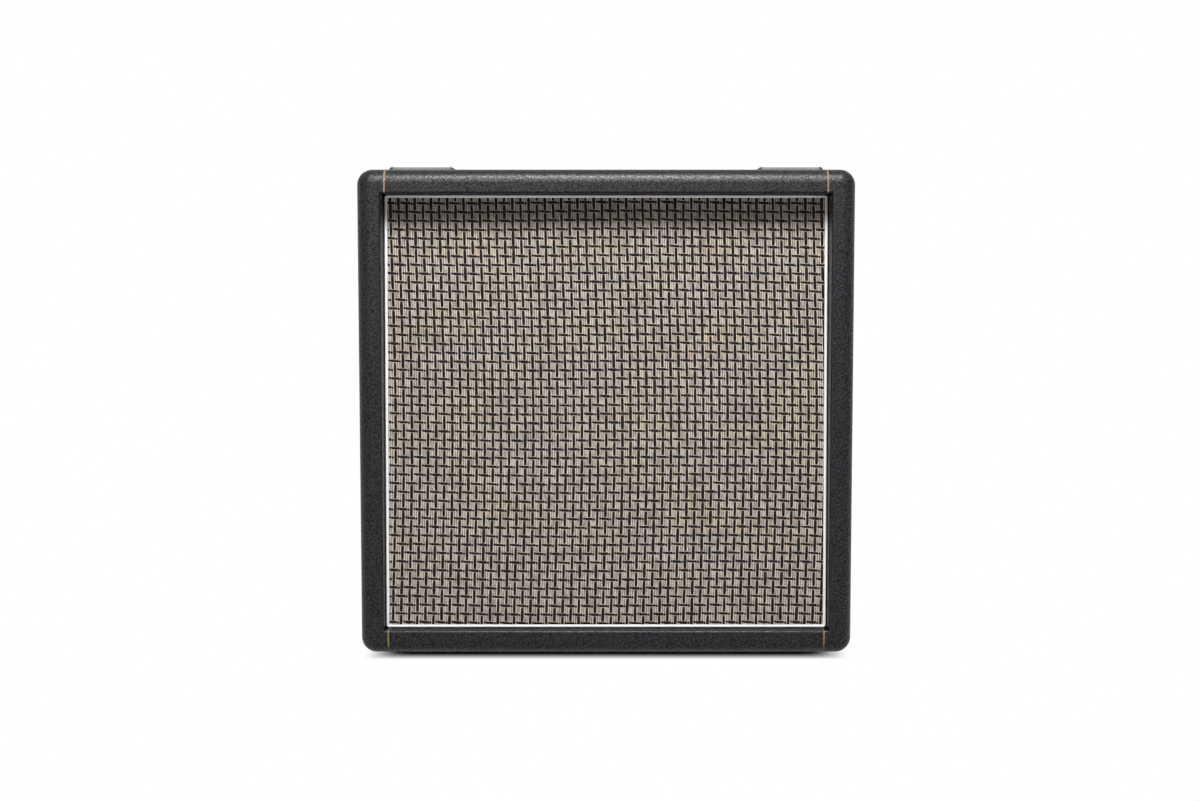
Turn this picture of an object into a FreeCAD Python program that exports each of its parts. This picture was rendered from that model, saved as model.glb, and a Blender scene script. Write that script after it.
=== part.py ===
import FreeCAD, Part
import math
import os

from FreeCAD import Placement, Rotation, Vector

# Guitar speaker cabinet with four drivers on a baffle that leans back behind a straight front.
# Millimetres. X is to the right, Y to the back and Z up; the feet stand on Z = 0.

# Body
CAB_WIDTH = 770.0
CAB_HEIGHT = 755.0
CAB_DEPTH = 365.0
CORNER_R = 24.0
FRONT_EDGE_R = 20.0
REAR_EDGE_R = 10.0
WALL_T = 18.0
FINGER_COUNT = 11
FRONT_BORDER = 37.0
LIP_EDGE_R = 3.0

# Covering and the strings in its seams
COVERING_T = 1.0
SEAM_INSET = 44.0
STRING_W = 2.4
STRING_PROUD = 0.4

# Baffle, grille and what holds them
RECESS_BOTTOM = 22.0
RECESS_TOP = 44.0
BAFFLE_T = 18.0
CLOTH_T = 0.8
PIPING_D = 5.0
PIPING_CORNER_R = 4.0
PIPING_FLANGE_T = 1.0
PIPING_FLANGE_DEPTH = 12.0
BATTEN_W = 20.0
LIP_BEHIND_BATTEN = 5.0
BAFFLE_SCREWS_PER_SIDE = 4
BAFFLE_SCREW_BITE = 13.0

# Back
BACK_T = 15.0
BACK_RECESS = 10.0
BACK_GAP = 1.0
BACK_SCREWS_PER_SIDE = 5
BACK_SCREW_END = 45.0
BACK_SCREW_BITE = 15.0
POST_W = 45.0
POST_SCREW_SPACING = 22.0

# Feet and stacking cups
FOOT_HEIGHT = 10.0
FOOT_R = 16.0
FOOT_TIP_R = 13.0
FOOT_EDGE_R = 2.5
FOOT_INSET_X = 82.5
FOOT_INSET_Y = 62.5
FOOT_SEAT_T = 5.0
CUP_INSET_X = 98.0
CUP_INSET_Y = 70.5
CUP_LENGTH = 104.0
CUP_WIDTH = 84.0
CUP_RISE = 4.2
CUP_END_BEVEL = 3.6
CUP_SIDE_BEVEL = 2.0
CUP_CORNER_R = 9.0
CUP_TOP_CORNER_R = 5.5
CUP_HOLLOW_R = 4.5
CUP_WALL = 2.5
CUP_RIM_W = 14.0
CUP_SCREW_INSET = 6.5
STACK_GAP = 1.0

# Side handles
HANDLE_RAISE = 40.0
HANDLE_LENGTH = 190.0
HANDLE_HEIGHT = 124.0
HANDLE_FLANGE_T = 3.0
HANDLE_CORNER_R = 16.0
HANDLE_RIM_W = 20.0
HANDLE_DEPTH = 52.0
HANDLE_WALL = 3.0
HANDLE_GRIP_H = 26.0
HANDLE_GRIP_T = 14.0
HANDLE_GRIP_R = 5.0
HANDLE_SCREW_INSET = 9.0
HANDLE_BEHIND_FRAME = 10.0

# Drivers, by depth behind the baffle and by radius
DRIVER_GAP = 12.0
FRAME_FLANGE_W = 16.0
FRAME_T = 1.8
GASKET_T = 5.0
GASKET_W = 9.0
CUTOUT_W = 14.0
BOLT_EDGE = 4.6
BOLTS_PER_DRIVER = 4
SHELF_R = 66.0
SHELF_W = 11.0
SHELF_DEPTH = 70.0
SEAT_DEPTH = 84.0
SEAT_HOLE_R = 30.0
WINDOWS = 8
WINDOW_ARC = 28.0
WINDOW_EDGE = 7.2
SHELF_CLEAR = 3.6
CONE_T = 1.0
CONE_RIM_DEPTH = 7.5
NECK_DEPTH = 63.5
SURROUND_W = 14.5
SURROUND_T = 0.6
SURROUND_ROLLS = 3
SURROUND_ROLL_H = 1.6
SPIDER_T = 0.5
SPIDER_WAVES = 5
SPIDER_WAVE_H = 0.7
CAP_R = 34.0
CAP_RISE = 14.0
CAP_T = 0.6
FORMER_R = 22.2
FORMER_T = 0.25
FORMER_FRONT = 60.0
WINDING_T = 0.6
WINDING_OVERHANG = 2.0
COIL_GAP = 0.7
PLATE_R = 70.0
PLATE_T = 8.0
MAGNET_R = 78.0
MAGNET_HOLE_R = 40.0
MAGNET_T = 22.0
COVER_T = 1.6
COVER_GAP = 0.4
COVER_SKIRT = 2.0
TAG_LENGTH = 30.0
TAG_WIDTH = 18.0
TAG_T = 2.0

# Jack on the back panel
JACK_DROP = 170.0
JACK_PLATE_W = 90.0
JACK_PLATE_H = 70.0
JACK_PLATE_T = 1.6
JACK_PLATE_CORNER_R = 6.0
JACK_SCREW_INSET = 9.0
JACK_HOLE_R = 22.0
BUSH_R = 4.75
BUSH_BORE_R = 3.25
BUSH_PROUD = 4.2
JACK_FLANGE = 16.0
JACK_FRAME_T = 1.5
JACK_ARM_L = 14.0
JACK_ARM_W = 10.0
JACK_ARM_OFFSET = 10.0
WAFER_T = 2.1
WAFER_L = 8.0
WAFER_START = 4.0
LEAF_T = 0.5
LEAF_W = 6.0
LEAF_RUN = 5.0
LEAF_DIP = 8.5
LEAF_LOW = 1.8
LEAF_LIFT = 5.0
WASHER_T = 0.8
WASHER_R = 8.0
NUT_T = 2.6
NUT_FLATS = 12.7

# Screws and clearances
SCREW_R = 2.0
SCREW_HEAD_R = 3.8
SCREW_HEAD_H = 2.2
SCREW_BITE = 13.0
SMALL_SCREW_R = 1.5
SMALL_HEAD_R = 3.0
SMALL_HEAD_H = 1.5
CUP_HEAD_R = 2.5
CUP_HEAD_H = 1.2
BOLT_R = 2.5
BOLT_HEAD_R = 4.6
BOLT_HEAD_H = 3.5
TNUT_FLANGE_R = 8.0
TNUT_FLANGE_T = 1.5
TNUT_BARREL_R = 3.4
TNUT_BARREL_L = 10.0
HEAD_BRIM = 0.4
CROSS_W = 0.9
CROSS_DEPTH = 1.0
CROSS_REACH = 0.55
HOLE_GAP = 0.05
SEAT_GAP = 0.15
RUN_GAP = 0.3
LEAD_D = 4.0
LEAD_RUN_OUT = 36.0
BEND_SHARE = 0.45
FAR = 1000.0
TOL = 1e-4

# Derived places
FRONT_Y = -CAB_DEPTH / 2
REAR_Y = CAB_DEPTH / 2
BODY_BOTTOM = FOOT_HEIGHT
BODY_TOP = FOOT_HEIGHT + CAB_HEIGHT
MID_Z = (BODY_BOTTOM + BODY_TOP) / 2
SIDE_X = CAB_WIDTH / 2
OPEN_X = SIDE_X - FRONT_BORDER
OPEN_Z = CAB_HEIGHT / 2 - FRONT_BORDER
INNER_X = SIDE_X - COVERING_T - WALL_T
INNER_Z = CAB_HEIGHT / 2 - COVERING_T - WALL_T
SEAM_X = SIDE_X - SEAM_INSET

# The baffle leans about X; its own frame has Y to the back, square to the board, and Z up along it.
LEAN = math.atan2(RECESS_TOP - RECESS_BOTTOM, 2 * OPEN_Z)
LEAN_FIT = math.tan(LEAN) * (BAFFLE_T + PIPING_D)
BAFFLE_Y = FRONT_Y + (RECESS_TOP + RECESS_BOTTOM) / 2 + PIPING_D / 2 + CLOTH_T
BAFFLE_FRAME = Placement(Vector(0, BAFFLE_Y, MID_Z), Rotation(Vector(1, 0, 0), -math.degrees(LEAN)))
PIPE_X = OPEN_X - SEAT_GAP
PIPE_Z = OPEN_Z / math.cos(LEAN) - LEAN_FIT
CLOTH_X = PIPE_X - PIPING_FLANGE_T - HOLE_GAP
CLOTH_Z = PIPE_Z - PIPING_FLANGE_T - HOLE_GAP
BAFFLE_X = CLOTH_X - CLOTH_T
BAFFLE_Z = CLOTH_Z - CLOTH_T
BATTEN_X = OPEN_X + COVERING_T - BATTEN_W
BATTEN_Z = PIPE_Z + COVERING_T - BATTEN_W
LIP_DEPTH = (RECESS_TOP + PIPING_D / 2 + CLOTH_T + BAFFLE_T + BATTEN_W) / math.cos(LEAN) + LIP_BEHIND_BATTEN

# Each driver fills a quarter of the baffle between the battens, less the gap between two frames.
DRIVER_X = BATTEN_X / 2
DRIVER_Z = BATTEN_Z / 2
FRAME_R = min(DRIVER_X, DRIVER_Z) - DRIVER_GAP / 2
RIM_R = FRAME_R - FRAME_FLANGE_W
BOLT_CIRCLE_R = FRAME_R - BOLT_EDGE
FORMER_OUT_R = FORMER_R + FORMER_T
WINDING_R = FORMER_OUT_R + WINDING_T
CONE_R = FRAME_R - FRAME_FLANGE_W - SURROUND_W + SURROUND_T
NECK_R = FORMER_OUT_R + HOLE_GAP
CONE_SLOPE = (NECK_DEPTH - CONE_RIM_DEPTH) / (CONE_R - NECK_R)
PLATE_FRONT = SEAT_DEPTH + FRAME_T
MAGNET_FRONT = PLATE_FRONT + PLATE_T
YOKE_FRONT = MAGNET_FRONT + MAGNET_T
YOKE_BACK = YOKE_FRONT + PLATE_T
DRIVERS = {
    "upper_left": (-DRIVER_X, DRIVER_Z),
    "upper_right": (DRIVER_X, DRIVER_Z),
    "lower_left": (-DRIVER_X, -DRIVER_Z),
    "lower_right": (DRIVER_X, -DRIVER_Z),
}

BACK_FACE_Y = REAR_Y - BACK_RECESS
BACK_OUT_Y = BACK_FACE_Y - COVERING_T
BACK_IN_Y = BACK_OUT_Y - BACK_T
BACK_X = INNER_X - COVERING_T - BACK_GAP
BACK_Z = INNER_Z - COVERING_T - BACK_GAP
JACK_Z = MID_Z - JACK_DROP
HANDLE_Z = MID_Z + HANDLE_RAISE
PAN_Y = HANDLE_LENGTH / 2 - HANDLE_RIM_W
PAN_Z = HANDLE_HEIGHT / 2 - HANDLE_RIM_W
HANDLE_Y = FRONT_Y + LIP_DEPTH + HANDLE_BEHIND_FRAME + PAN_Y
CUP_X = SIDE_X - CUP_INSET_X
CUP_Y = CAB_DEPTH / 2 - CUP_INSET_Y
CUP_FLOOR_Z = BODY_TOP + CUP_RISE + STACK_GAP - FOOT_HEIGHT
FOOT_X = SIDE_X - FOOT_INSET_X
FOOT_Y = CAB_DEPTH / 2 - FOOT_INSET_Y
TOP_IN_Z = MID_Z + INNER_Z
BOTTOM_IN_Z = MID_Z - INNER_Z


def box(x0, x1, y0, y1, z0, z1):
    return Part.makeBox(x1 - x0, y1 - y0, z1 - z0, Vector(x0, y0, z0))


def placed(shape, frame):
    copy = shape.copy()
    copy.Placement = frame.multiply(copy.Placement)
    return copy


def moved(shape, x, y, z):
    return placed(shape, Placement(Vector(x, y, z), Rotation()))


def merged(shapes):
    return shapes[0].multiFuse(shapes[1:]).removeSplitter()


def edges_along(shape, axis):
    return [e for e in shape.Edges if abs(abs(e.tangentAt(e.FirstParameter).dot(axis)) - 1) < TOL]


def turned(points):
    """Solid of revolution about Y from its (radius, depth) corners."""
    corners = [Vector(r, y, 0) for r, y in points]
    face = Part.Face(Part.makePolygon(corners + corners[:1]))
    return face.revolve(Vector(0, 0, 0), Vector(0, 1, 0), 360)


def ring(inner_r, outer_r, y0, y1):
    return turned([(inner_r, y0), (outer_r, y0), (outer_r, y1), (inner_r, y1)])


def rod(radius, start, end):
    return Part.makeCylinder(radius, (end - start).Length, start, end - start)


def ball_arc(radius, rise):
    """Rim, middle and top, as (radius, height), of the arc of a ball over a round base."""
    ball_r = (radius ** 2 + rise ** 2) / (2 * rise)
    half_angle = math.asin(radius / ball_r) / 2
    middle = (ball_r * math.sin(half_angle), rise - ball_r + ball_r * math.cos(half_angle))
    return (radius, 0), middle, (0, rise)


def screw(radius, head_r, head_h, length):
    """Pan head screw: head above Z = 0 on its seat, and a shank whose point is as long as it is thick."""
    brim = head_h * HEAD_BRIM
    dome = Part.Arc(*[Vector(r, 0, brim + h) for r, h in ball_arc(head_r, head_h - brim)])
    corners = [Vector(0, 0, head_h), Vector(0, 0, -length), Vector(radius, 0, -length + 2 * radius)]
    corners += [Vector(radius, 0, 0), Vector(head_r, 0, 0), Vector(head_r, 0, brim)]
    outline = Part.Wire([dome.toShape()] + Part.makePolygon(corners).Edges)
    body = Part.Face(outline).revolve(Vector(0, 0, 0), Vector(0, 0, 1), 360)
    half = head_r * CROSS_REACH
    deep = head_h - CROSS_DEPTH
    slots = [box(-half, half, -CROSS_W / 2, CROSS_W / 2, deep, FAR)]
    slots.append(box(-CROSS_W / 2, CROSS_W / 2, -half, half, deep, FAR))
    return body.cut(slots)


def aimed(shape, seat, head_way):
    """Screw set on its seat with the head pointing head_way."""
    return placed(shape, Placement(seat, Rotation(Vector(0, 0, 1), head_way)))


def shank_hole(seat, head_way, radius, length):
    """Hole for a screw, from just above its seat to its tip."""
    way = Vector(head_way)
    way.normalize()
    return rod(radius + HOLE_GAP, seat + way * RUN_GAP, seat - way * length)


def in_baffle(shape):
    return placed(shape, BAFFLE_FRAME)


def tube(points, diameter):
    """Round lead through points, each bend an arc that takes a share of the shorter run beside it."""
    edges = []
    here = points[0]
    for before, corner, after in zip(points, points[1:], points[2:]):
        back = before - corner
        ahead = after - corner
        half_turn = (math.pi - back.getAngle(ahead)) / 2
        reach = BEND_SHARE * min(back.Length, ahead.Length)
        radius = reach / math.tan(half_turn)
        back.normalize()
        ahead.normalize()
        bisector = back + ahead
        bisector.normalize()
        start = corner + back * reach
        end = corner + ahead * reach
        middle = corner + bisector * (radius / math.cos(half_turn) - radius)
        edges.append(Part.LineSegment(here, start).toShape())
        edges.append(Part.Arc(start, middle, end).toShape())
        here = end
    edges.append(Part.LineSegment(here, points[-1]).toShape())
    path = Part.Wire(edges)
    circle = Part.Circle(points[0], points[1] - points[0], diameter / 2).toShape()
    return path.makePipeShell([Part.Wire([circle])], True, False)


# Body forms shared by the wood, the covering and the strings

def envelope(inset):
    """Outside of the body, drawn in by inset on every face."""
    front = FRONT_Y + inset
    rear = REAR_Y - inset
    x = SIDE_X - inset
    z = CAB_HEIGHT / 2 - inset
    body = box(-x, x, front, rear, MID_Z - z, MID_Z + z)
    body = body.makeFillet(CORNER_R - inset, edges_along(body, Vector(0, 1, 0)))
    for face_y, radius in ((front, FRONT_EDGE_R), (rear, REAR_EDGE_R)):
        rim = [e for e in body.Edges if all(abs(v.Y - face_y) < TOL for v in e.Vertexes)]
        body = body.makeFillet(radius - inset, rim)
    return body


def opening(outset):
    """Space inside the front frame."""
    x = OPEN_X + outset
    z = OPEN_Z + outset
    return box(-x, x, FRONT_Y - FAR, FRONT_Y + LIP_DEPTH, MID_Z - z, MID_Z + z)


def opened_body(inset):
    """Body with its front opening, rounded at the mouth, and the rebate for the back."""
    front = FRONT_Y + inset
    body = envelope(inset).cut(opening(inset))
    mouth = [
        e for e in body.Edges
        if all(abs(v.Y - front) < TOL and abs(v.X) < OPEN_X + inset + TOL for v in e.Vertexes)
        and all(abs(v.Z - MID_Z) < OPEN_Z + inset + TOL for v in e.Vertexes)
    ]
    body = body.makeFillet(LIP_EDGE_R - inset, mouth)
    x = INNER_X - COVERING_T + inset
    z = INNER_Z - COVERING_T + inset
    return body.cut(box(-x, x, BACK_FACE_Y, REAR_Y + FAR, MID_Z - z, MID_Z + z))


def behind_baffle_plane(depth):
    """Everything in the front opening behind a plane parallel to the baffle."""
    slab = in_baffle(box(-FAR, FAR, depth, FAR, -FAR, FAR))
    return slab.common(opening(COVERING_T))


# Where the screws go: (seat, head direction)

def handle_screw_places(side):
    y = HANDLE_LENGTH / 2 - HANDLE_SCREW_INSET
    z = HANDLE_HEIGHT / 2 - HANDLE_SCREW_INSET
    seat_x = side * (SIDE_X + HANDLE_FLANGE_T)
    spots = [(-y, -z), (0, -z), (y, -z), (-y, z), (0, z), (y, z)]
    return [(Vector(seat_x, HANDLE_Y + dy, HANDLE_Z + dz), Vector(side, 0, 0)) for dy, dz in spots]


def cup_screw_places(cx, cy):
    x = CUP_LENGTH / 2 - CUP_SCREW_INSET
    y = CUP_WIDTH / 2 - CUP_SCREW_INSET
    seat_z = BODY_TOP + CUP_RISE
    return [
        (Vector(cx + sx * x, cy + sy * y, seat_z), Vector(0, 0, 1)) for sx in (-1, 1) for sy in (-1, 1)
    ]


def spread(half, end, count):
    """Evenly spaced places from -half + end to half - end."""
    first = end - half
    step = (2 * half - 2 * end) / (count - 1)
    return [first + step * i for i in range(count)]


def back_screw_places():
    x_line = INNER_X - BATTEN_W / 2
    z_line = INNER_Z - BATTEN_W / 2
    spots = [(x, s * z_line) for x in spread(BACK_X, BACK_SCREW_END, BACK_SCREWS_PER_SIDE) for s in (-1, 1)]
    spots += [(s * x_line, z) for z in spread(BACK_Z, BACK_SCREW_END, BACK_SCREWS_PER_SIDE) for s in (-1, 1)]
    spots += [(0, s * POST_SCREW_SPACING / 2) for s in (-1, 1)]
    return [(Vector(x, BACK_FACE_Y, MID_Z + z), Vector(0, 1, 0)) for x, z in spots]


def jack_screw_places():
    x = JACK_PLATE_W / 2 - JACK_SCREW_INSET
    z = JACK_PLATE_H / 2 - JACK_SCREW_INSET
    seat_y = BACK_FACE_Y + JACK_PLATE_T
    return [(Vector(sx * x, seat_y, JACK_Z + sz * z), Vector(0, 1, 0)) for sx in (-1, 1) for sz in (-1, 1)]


def baffle_screw_places():
    """In the baffle's frame, on the back of the battens."""
    seat_y = BAFFLE_T + BATTEN_W
    x_line = BATTEN_X + BATTEN_W / 2
    z_line = BATTEN_Z + BATTEN_W / 2 - COVERING_T
    spots = [(x, s * z_line) for x in spread(BATTEN_X, BATTEN_W, BAFFLE_SCREWS_PER_SIDE) for s in (-1, 1)]
    spots += [(s * x_line, z) for z in spread(BATTEN_Z, BATTEN_W, BAFFLE_SCREWS_PER_SIDE) for s in (-1, 1)]
    return [(Vector(x, seat_y, z), Vector(0, 1, 0)) for x, z in spots]


def bolt_places():
    """In the baffle's frame, on the back of the driver frames."""
    spots = []
    for cx, cz in DRIVERS.values():
        for i in range(BOLTS_PER_DRIVER):
            angle = math.pi * (2 * i + 1) / BOLTS_PER_DRIVER
            x = cx + BOLT_CIRCLE_R * math.cos(angle)
            z = cz + BOLT_CIRCLE_R * math.sin(angle)
            spots.append(Vector(x, BAFFLE_T + GASKET_T + FRAME_T, z))
    return spots


parts = {}
SCREW_LENGTH = BACK_T + COVERING_T + BACK_SCREW_BITE
BAFFLE_SCREW_LENGTH = BATTEN_W + BAFFLE_SCREW_BITE
HANDLE_SCREW_LENGTH = HANDLE_FLANGE_T + COVERING_T + SCREW_BITE
CUP_SCREW_LENGTH = CUP_RISE + COVERING_T + SCREW_BITE
FOOT_SCREW_LENGTH = FOOT_SEAT_T + COVERING_T + SCREW_BITE
JACK_SCREW_LENGTH = JACK_PLATE_T + COVERING_T + SCREW_BITE
FEET = [(sx * FOOT_X, sy * FOOT_Y) for sx in (-1, 1) for sy in (-1, 1)]
CUPS = {
    "stacking_cup_front_left": (-CUP_X, -CUP_Y),
    "stacking_cup_front_right": (CUP_X, -CUP_Y),
    "stacking_cup_rear_left": (-CUP_X, CUP_Y),
    "stacking_cup_rear_right": (CUP_X, CUP_Y),
}
HANDLES = {"handle_left": -1, "handle_right": 1}

# Holes that the screws and let-in pieces need in wood and covering
foot_seats = [(Vector(x, y, FOOT_HEIGHT - FOOT_SEAT_T), Vector(0, 0, -1)) for x, y in FEET]
foot_holes = [shank_hole(seat, way, SCREW_R, FOOT_SCREW_LENGTH) for seat, way in foot_seats]

cup_holes = []
for cup_x, cup_y in CUPS.values():
    for seat, way in cup_screw_places(cup_x, cup_y):
        cup_holes.append(shank_hole(seat, way, SMALL_SCREW_R, CUP_SCREW_LENGTH))

cup_wells = []
well_x = CUP_LENGTH / 2 - CUP_RIM_W + CUP_WALL + HOLE_GAP
well_y = CUP_WIDTH / 2 - CUP_RIM_W + CUP_WALL + HOLE_GAP
for cup_x, cup_y in CUPS.values():
    well_z = CUP_FLOOR_Z - CUP_WALL - HOLE_GAP
    well = box(cup_x - well_x, cup_x + well_x, cup_y - well_y, cup_y + well_y, well_z, BODY_TOP + FAR)
    cup_wells.append(well)

handle_holes = []
for side in HANDLES.values():
    for seat, way in handle_screw_places(side):
        handle_holes.append(shank_hole(seat, way, SCREW_R, HANDLE_SCREW_LENGTH))

handle_wells = []
for side in HANDLES.values():
    y = PAN_Y + HOLE_GAP
    z = PAN_Z + HOLE_GAP
    x_span = sorted((side * (INNER_X - HANDLE_DEPTH), side * FAR))
    well = box(x_span[0], x_span[1], HANDLE_Y - y, HANDLE_Y + y, HANDLE_Z - z, HANDLE_Z + z)
    handle_wells.append(well)

shell_cuts = foot_holes + cup_holes + cup_wells + handle_holes + handle_wells

# Shell of finger jointed plywood, and the rails that thicken its front edge
core = opened_body(COVERING_T)
cavity = box(-INNER_X, INNER_X, FRONT_Y + LIP_DEPTH, FAR, BOTTOM_IN_Z, TOP_IN_Z)
wood = core.cut(cavity)
rails = wood.common(box(-INNER_X, INNER_X, -FAR, FAR, BOTTOM_IN_Z, TOP_IN_Z))
rail_x = OPEN_X + COVERING_T
parts["front_frame_rails"] = [
    rails.common(box(-INNER_X, -rail_x, -FAR, FAR, 0, FAR)),
    rails.common(box(rail_x, INNER_X, -FAR, FAR, 0, FAR)),
    rails.common(box(-rail_x, rail_x, -FAR, FAR, 0, MID_Z)),
    rails.common(box(-rail_x, rail_x, -FAR, FAR, MID_Z, FAR)),
]

finger_pitch = CAB_DEPTH / FINGER_COUNT


def fingers(side, up, first):
    """Every other finger of one corner joint, as a region to cut the wood with."""
    x_span = sorted((side * INNER_X, side * SIDE_X))
    z_span = (TOP_IN_Z, BODY_TOP) if up > 0 else (BODY_BOTTOM, BOTTOM_IN_Z)
    blocks = []
    for i in range(first, FINGER_COUNT, 2):
        y = FRONT_Y + i * finger_pitch
        blocks.append(box(x_span[0], x_span[1], y, y + finger_pitch, z_span[0], z_span[1]))
    return blocks


for name, side in (("side_panel_left", -1), ("side_panel_right", 1)):
    x_span = sorted((side * INNER_X, side * SIDE_X))
    flat = box(x_span[0], x_span[1], FRONT_Y, REAR_Y, BOTTOM_IN_Z, TOP_IN_Z)
    region = merged([flat] + fingers(side, 1, 0) + fingers(side, -1, 0))
    parts[name] = [wood.common(region).cut(shell_cuts)]
for name, up in (("top_panel", 1), ("bottom_panel", -1)):
    z_span = (TOP_IN_Z, BODY_TOP) if up > 0 else (BODY_BOTTOM, BOTTOM_IN_Z)
    flat = box(-INNER_X, INNER_X, FRONT_Y, REAR_Y, z_span[0], z_span[1])
    region = merged([flat] + fingers(-1, up, 1) + fingers(1, up, 1))
    parts[name] = [wood.common(region).cut(shell_cuts)]

# Covering in four pieces, turned in over the front frame and the rear edge
skin = opened_body(0).cut([core, behind_baffle_plane(BAFFLE_T - COVERING_T)])
skin = skin.cut(foot_holes + cup_holes + cup_wells + handle_holes + handle_wells)
seam_out = SEAM_X + STRING_W / 2
seam_in = SEAM_X - STRING_W / 2
parts["covering_left"] = [skin.common(box(-FAR, -seam_out, -FAR, FAR, 0, FAR))]
parts["covering_right"] = [skin.common(box(seam_out, FAR, -FAR, FAR, 0, FAR))]
parts["covering_top"] = [skin.common(box(-seam_in, seam_in, -FAR, FAR, MID_Z, FAR))]
parts["covering_bottom"] = [skin.common(box(-seam_in, seam_in, -FAR, FAR, 0, MID_Z))]

# Strings in the four seams, a little proud, ending just before the piping
string_end = -(CLOTH_T + PIPING_D + RUN_GAP)
cord_skin = opened_body(-STRING_PROUD).cut([core, behind_baffle_plane(string_end)])
parts["seam_strings"] = [
    cord_skin.common(box(side * SEAM_X - STRING_W / 2, side * SEAM_X + STRING_W / 2, -FAR, FAR, z0, z0 + FAR))
    for side in (-1, 1) for z0 in (MID_Z - FAR, MID_Z)
]

# Baffle board and the battens behind it
tnut_holes = []
for seat in bolt_places():
    front = Vector(seat.x, -RUN_GAP, seat.z)
    flange_back = Vector(seat.x, TNUT_FLANGE_T, seat.z)
    barrel_back = Vector(seat.x, TNUT_BARREL_L + HOLE_GAP, seat.z)
    tnut_holes.append(rod(TNUT_FLANGE_R + HOLE_GAP, front, flange_back))
    tnut_holes.append(rod(TNUT_BARREL_R + HOLE_GAP, front, barrel_back))
    tnut_holes.append(rod(BOLT_R + HOLE_GAP, front, seat))
cutouts = [
    rod(FRAME_R - CUTOUT_W, Vector(x, -FAR, z), Vector(x, FAR, z)) for x, z in DRIVERS.values()
]
baffle_holes = [shank_hole(seat, way, SCREW_R, BAFFLE_SCREW_LENGTH) for seat, way in baffle_screw_places()]
board = box(-BAFFLE_X, BAFFLE_X, 0, BAFFLE_T, -BAFFLE_Z, BAFFLE_Z)
parts["baffle_board"] = [in_baffle(board.cut(cutouts + tnut_holes + baffle_holes))]

batten_ring = box(-FAR, FAR, BAFFLE_T, BAFFLE_T + BATTEN_W, -FAR, FAR)
batten_ring = batten_ring.cut([box(-BATTEN_X, BATTEN_X, -FAR, FAR, -BATTEN_Z, BATTEN_Z)] + baffle_holes)
batten_ring = in_baffle(batten_ring).common(opening(COVERING_T))
parts["baffle_battens"] = [
    batten_ring.common(box(-FAR, -BATTEN_X, -FAR, FAR, 0, FAR)),
    batten_ring.common(box(BATTEN_X, FAR, -FAR, FAR, 0, FAR)),
    batten_ring.common(box(-BATTEN_X, BATTEN_X, -FAR, FAR, 0, MID_Z)),
    batten_ring.common(box(-BATTEN_X, BATTEN_X, -FAR, FAR, MID_Z, FAR)),
]
wood_screw = screw(SCREW_R, SCREW_HEAD_R, SCREW_HEAD_H, BAFFLE_SCREW_LENGTH)
parts["baffle_screws"] = [in_baffle(aimed(wood_screw, seat, way)) for seat, way in baffle_screw_places()]

# Grille cloth, drawn over the front and the edges of the baffle, and its piping
cloth = box(-CLOTH_X, CLOTH_X, -CLOTH_T, BAFFLE_T - COVERING_T, -CLOTH_Z, CLOTH_Z)
parts["grille_cloth"] = [in_baffle(cloth.cut(box(-BAFFLE_X, BAFFLE_X, 0, FAR, -BAFFLE_Z, BAFFLE_Z)))]


def rounded_loop(x, y, z, radius):
    """Closed wire round a rectangle at one depth Y, with round corners."""
    flat = Part.Face(Part.makePolygon([
        Vector(-x, y, -z), Vector(x, y, -z), Vector(x, y, z), Vector(-x, y, z), Vector(-x, y, -z)
    ]))
    solid = flat.extrude(Vector(0, PIPING_D, 0))
    solid = solid.makeFillet(radius, edges_along(solid, Vector(0, 1, 0)))
    face = next(f for f in solid.Faces if all(abs(v.Y - y) < TOL for v in f.Vertexes))
    return face.OuterWire


bead_r = PIPING_D / 2
bead_y = -CLOTH_T - bead_r - HOLE_GAP
bead_path = rounded_loop(PIPE_X - bead_r, bead_y, PIPE_Z - bead_r, PIPING_CORNER_R)
start_edge = bead_path.OrderedEdges[0]
start_point = start_edge.valueAt(start_edge.FirstParameter)
start_way = start_edge.tangentAt(start_edge.FirstParameter)
bead_section = Part.Wire([Part.Circle(start_point, start_way, bead_r).toShape()])
bead = bead_path.makePipeShell([bead_section], True, False)
flange_r = PIPING_CORNER_R + bead_r
inner_x = PIPE_X - PIPING_FLANGE_T
inner_z = PIPE_Z - PIPING_FLANGE_T
flange_outer = Part.Face(rounded_loop(PIPE_X, bead_y, PIPE_Z, flange_r))
flange_inner = Part.Face(rounded_loop(inner_x, bead_y, inner_z, flange_r - PIPING_FLANGE_T))
flange = flange_outer.cut(flange_inner).extrude(Vector(0, PIPING_FLANGE_DEPTH - bead_y, 0))
flange_room = board.makeOffsetShape(CLOTH_T + HOLE_GAP, TOL, join=2)
parts["grille_piping"] = [in_baffle(merged([bead, flange.cut(flange_room)]))]

# Drivers: every fixed piece once, then set at the four places
cone_dr = RIM_R - SHELF_R
cone_ds = SHELF_DEPTH - GASKET_T
slant = math.hypot(cone_dr, cone_ds)
out_r = FRAME_T * cone_ds / slant
out_s = FRAME_T * cone_dr / slant
rim_back = GASKET_T + FRAME_T
rim_back_r = RIM_R + out_r - (rim_back - GASKET_T - out_s) * cone_dr / cone_ds
shelf_back = SHELF_DEPTH + FRAME_T
shelf_back_r = SHELF_R + out_r - (shelf_back - SHELF_DEPTH - out_s) * cone_dr / cone_ds
step_r = SHELF_R - SHELF_W
basket = turned([
    (RIM_R, GASKET_T), (FRAME_R, GASKET_T), (FRAME_R, rim_back), (rim_back_r, rim_back),
    (shelf_back_r, shelf_back), (step_r + FRAME_T, shelf_back), (step_r + FRAME_T, PLATE_FRONT),
    (SEAT_HOLE_R, PLATE_FRONT), (SEAT_HOLE_R, SEAT_DEPTH), (step_r, SEAT_DEPTH),
    (step_r, SHELF_DEPTH), (SHELF_R, SHELF_DEPTH),
])
window_half = math.radians(WINDOW_ARC) / 2
window_in = SHELF_R + WINDOW_EDGE
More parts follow.
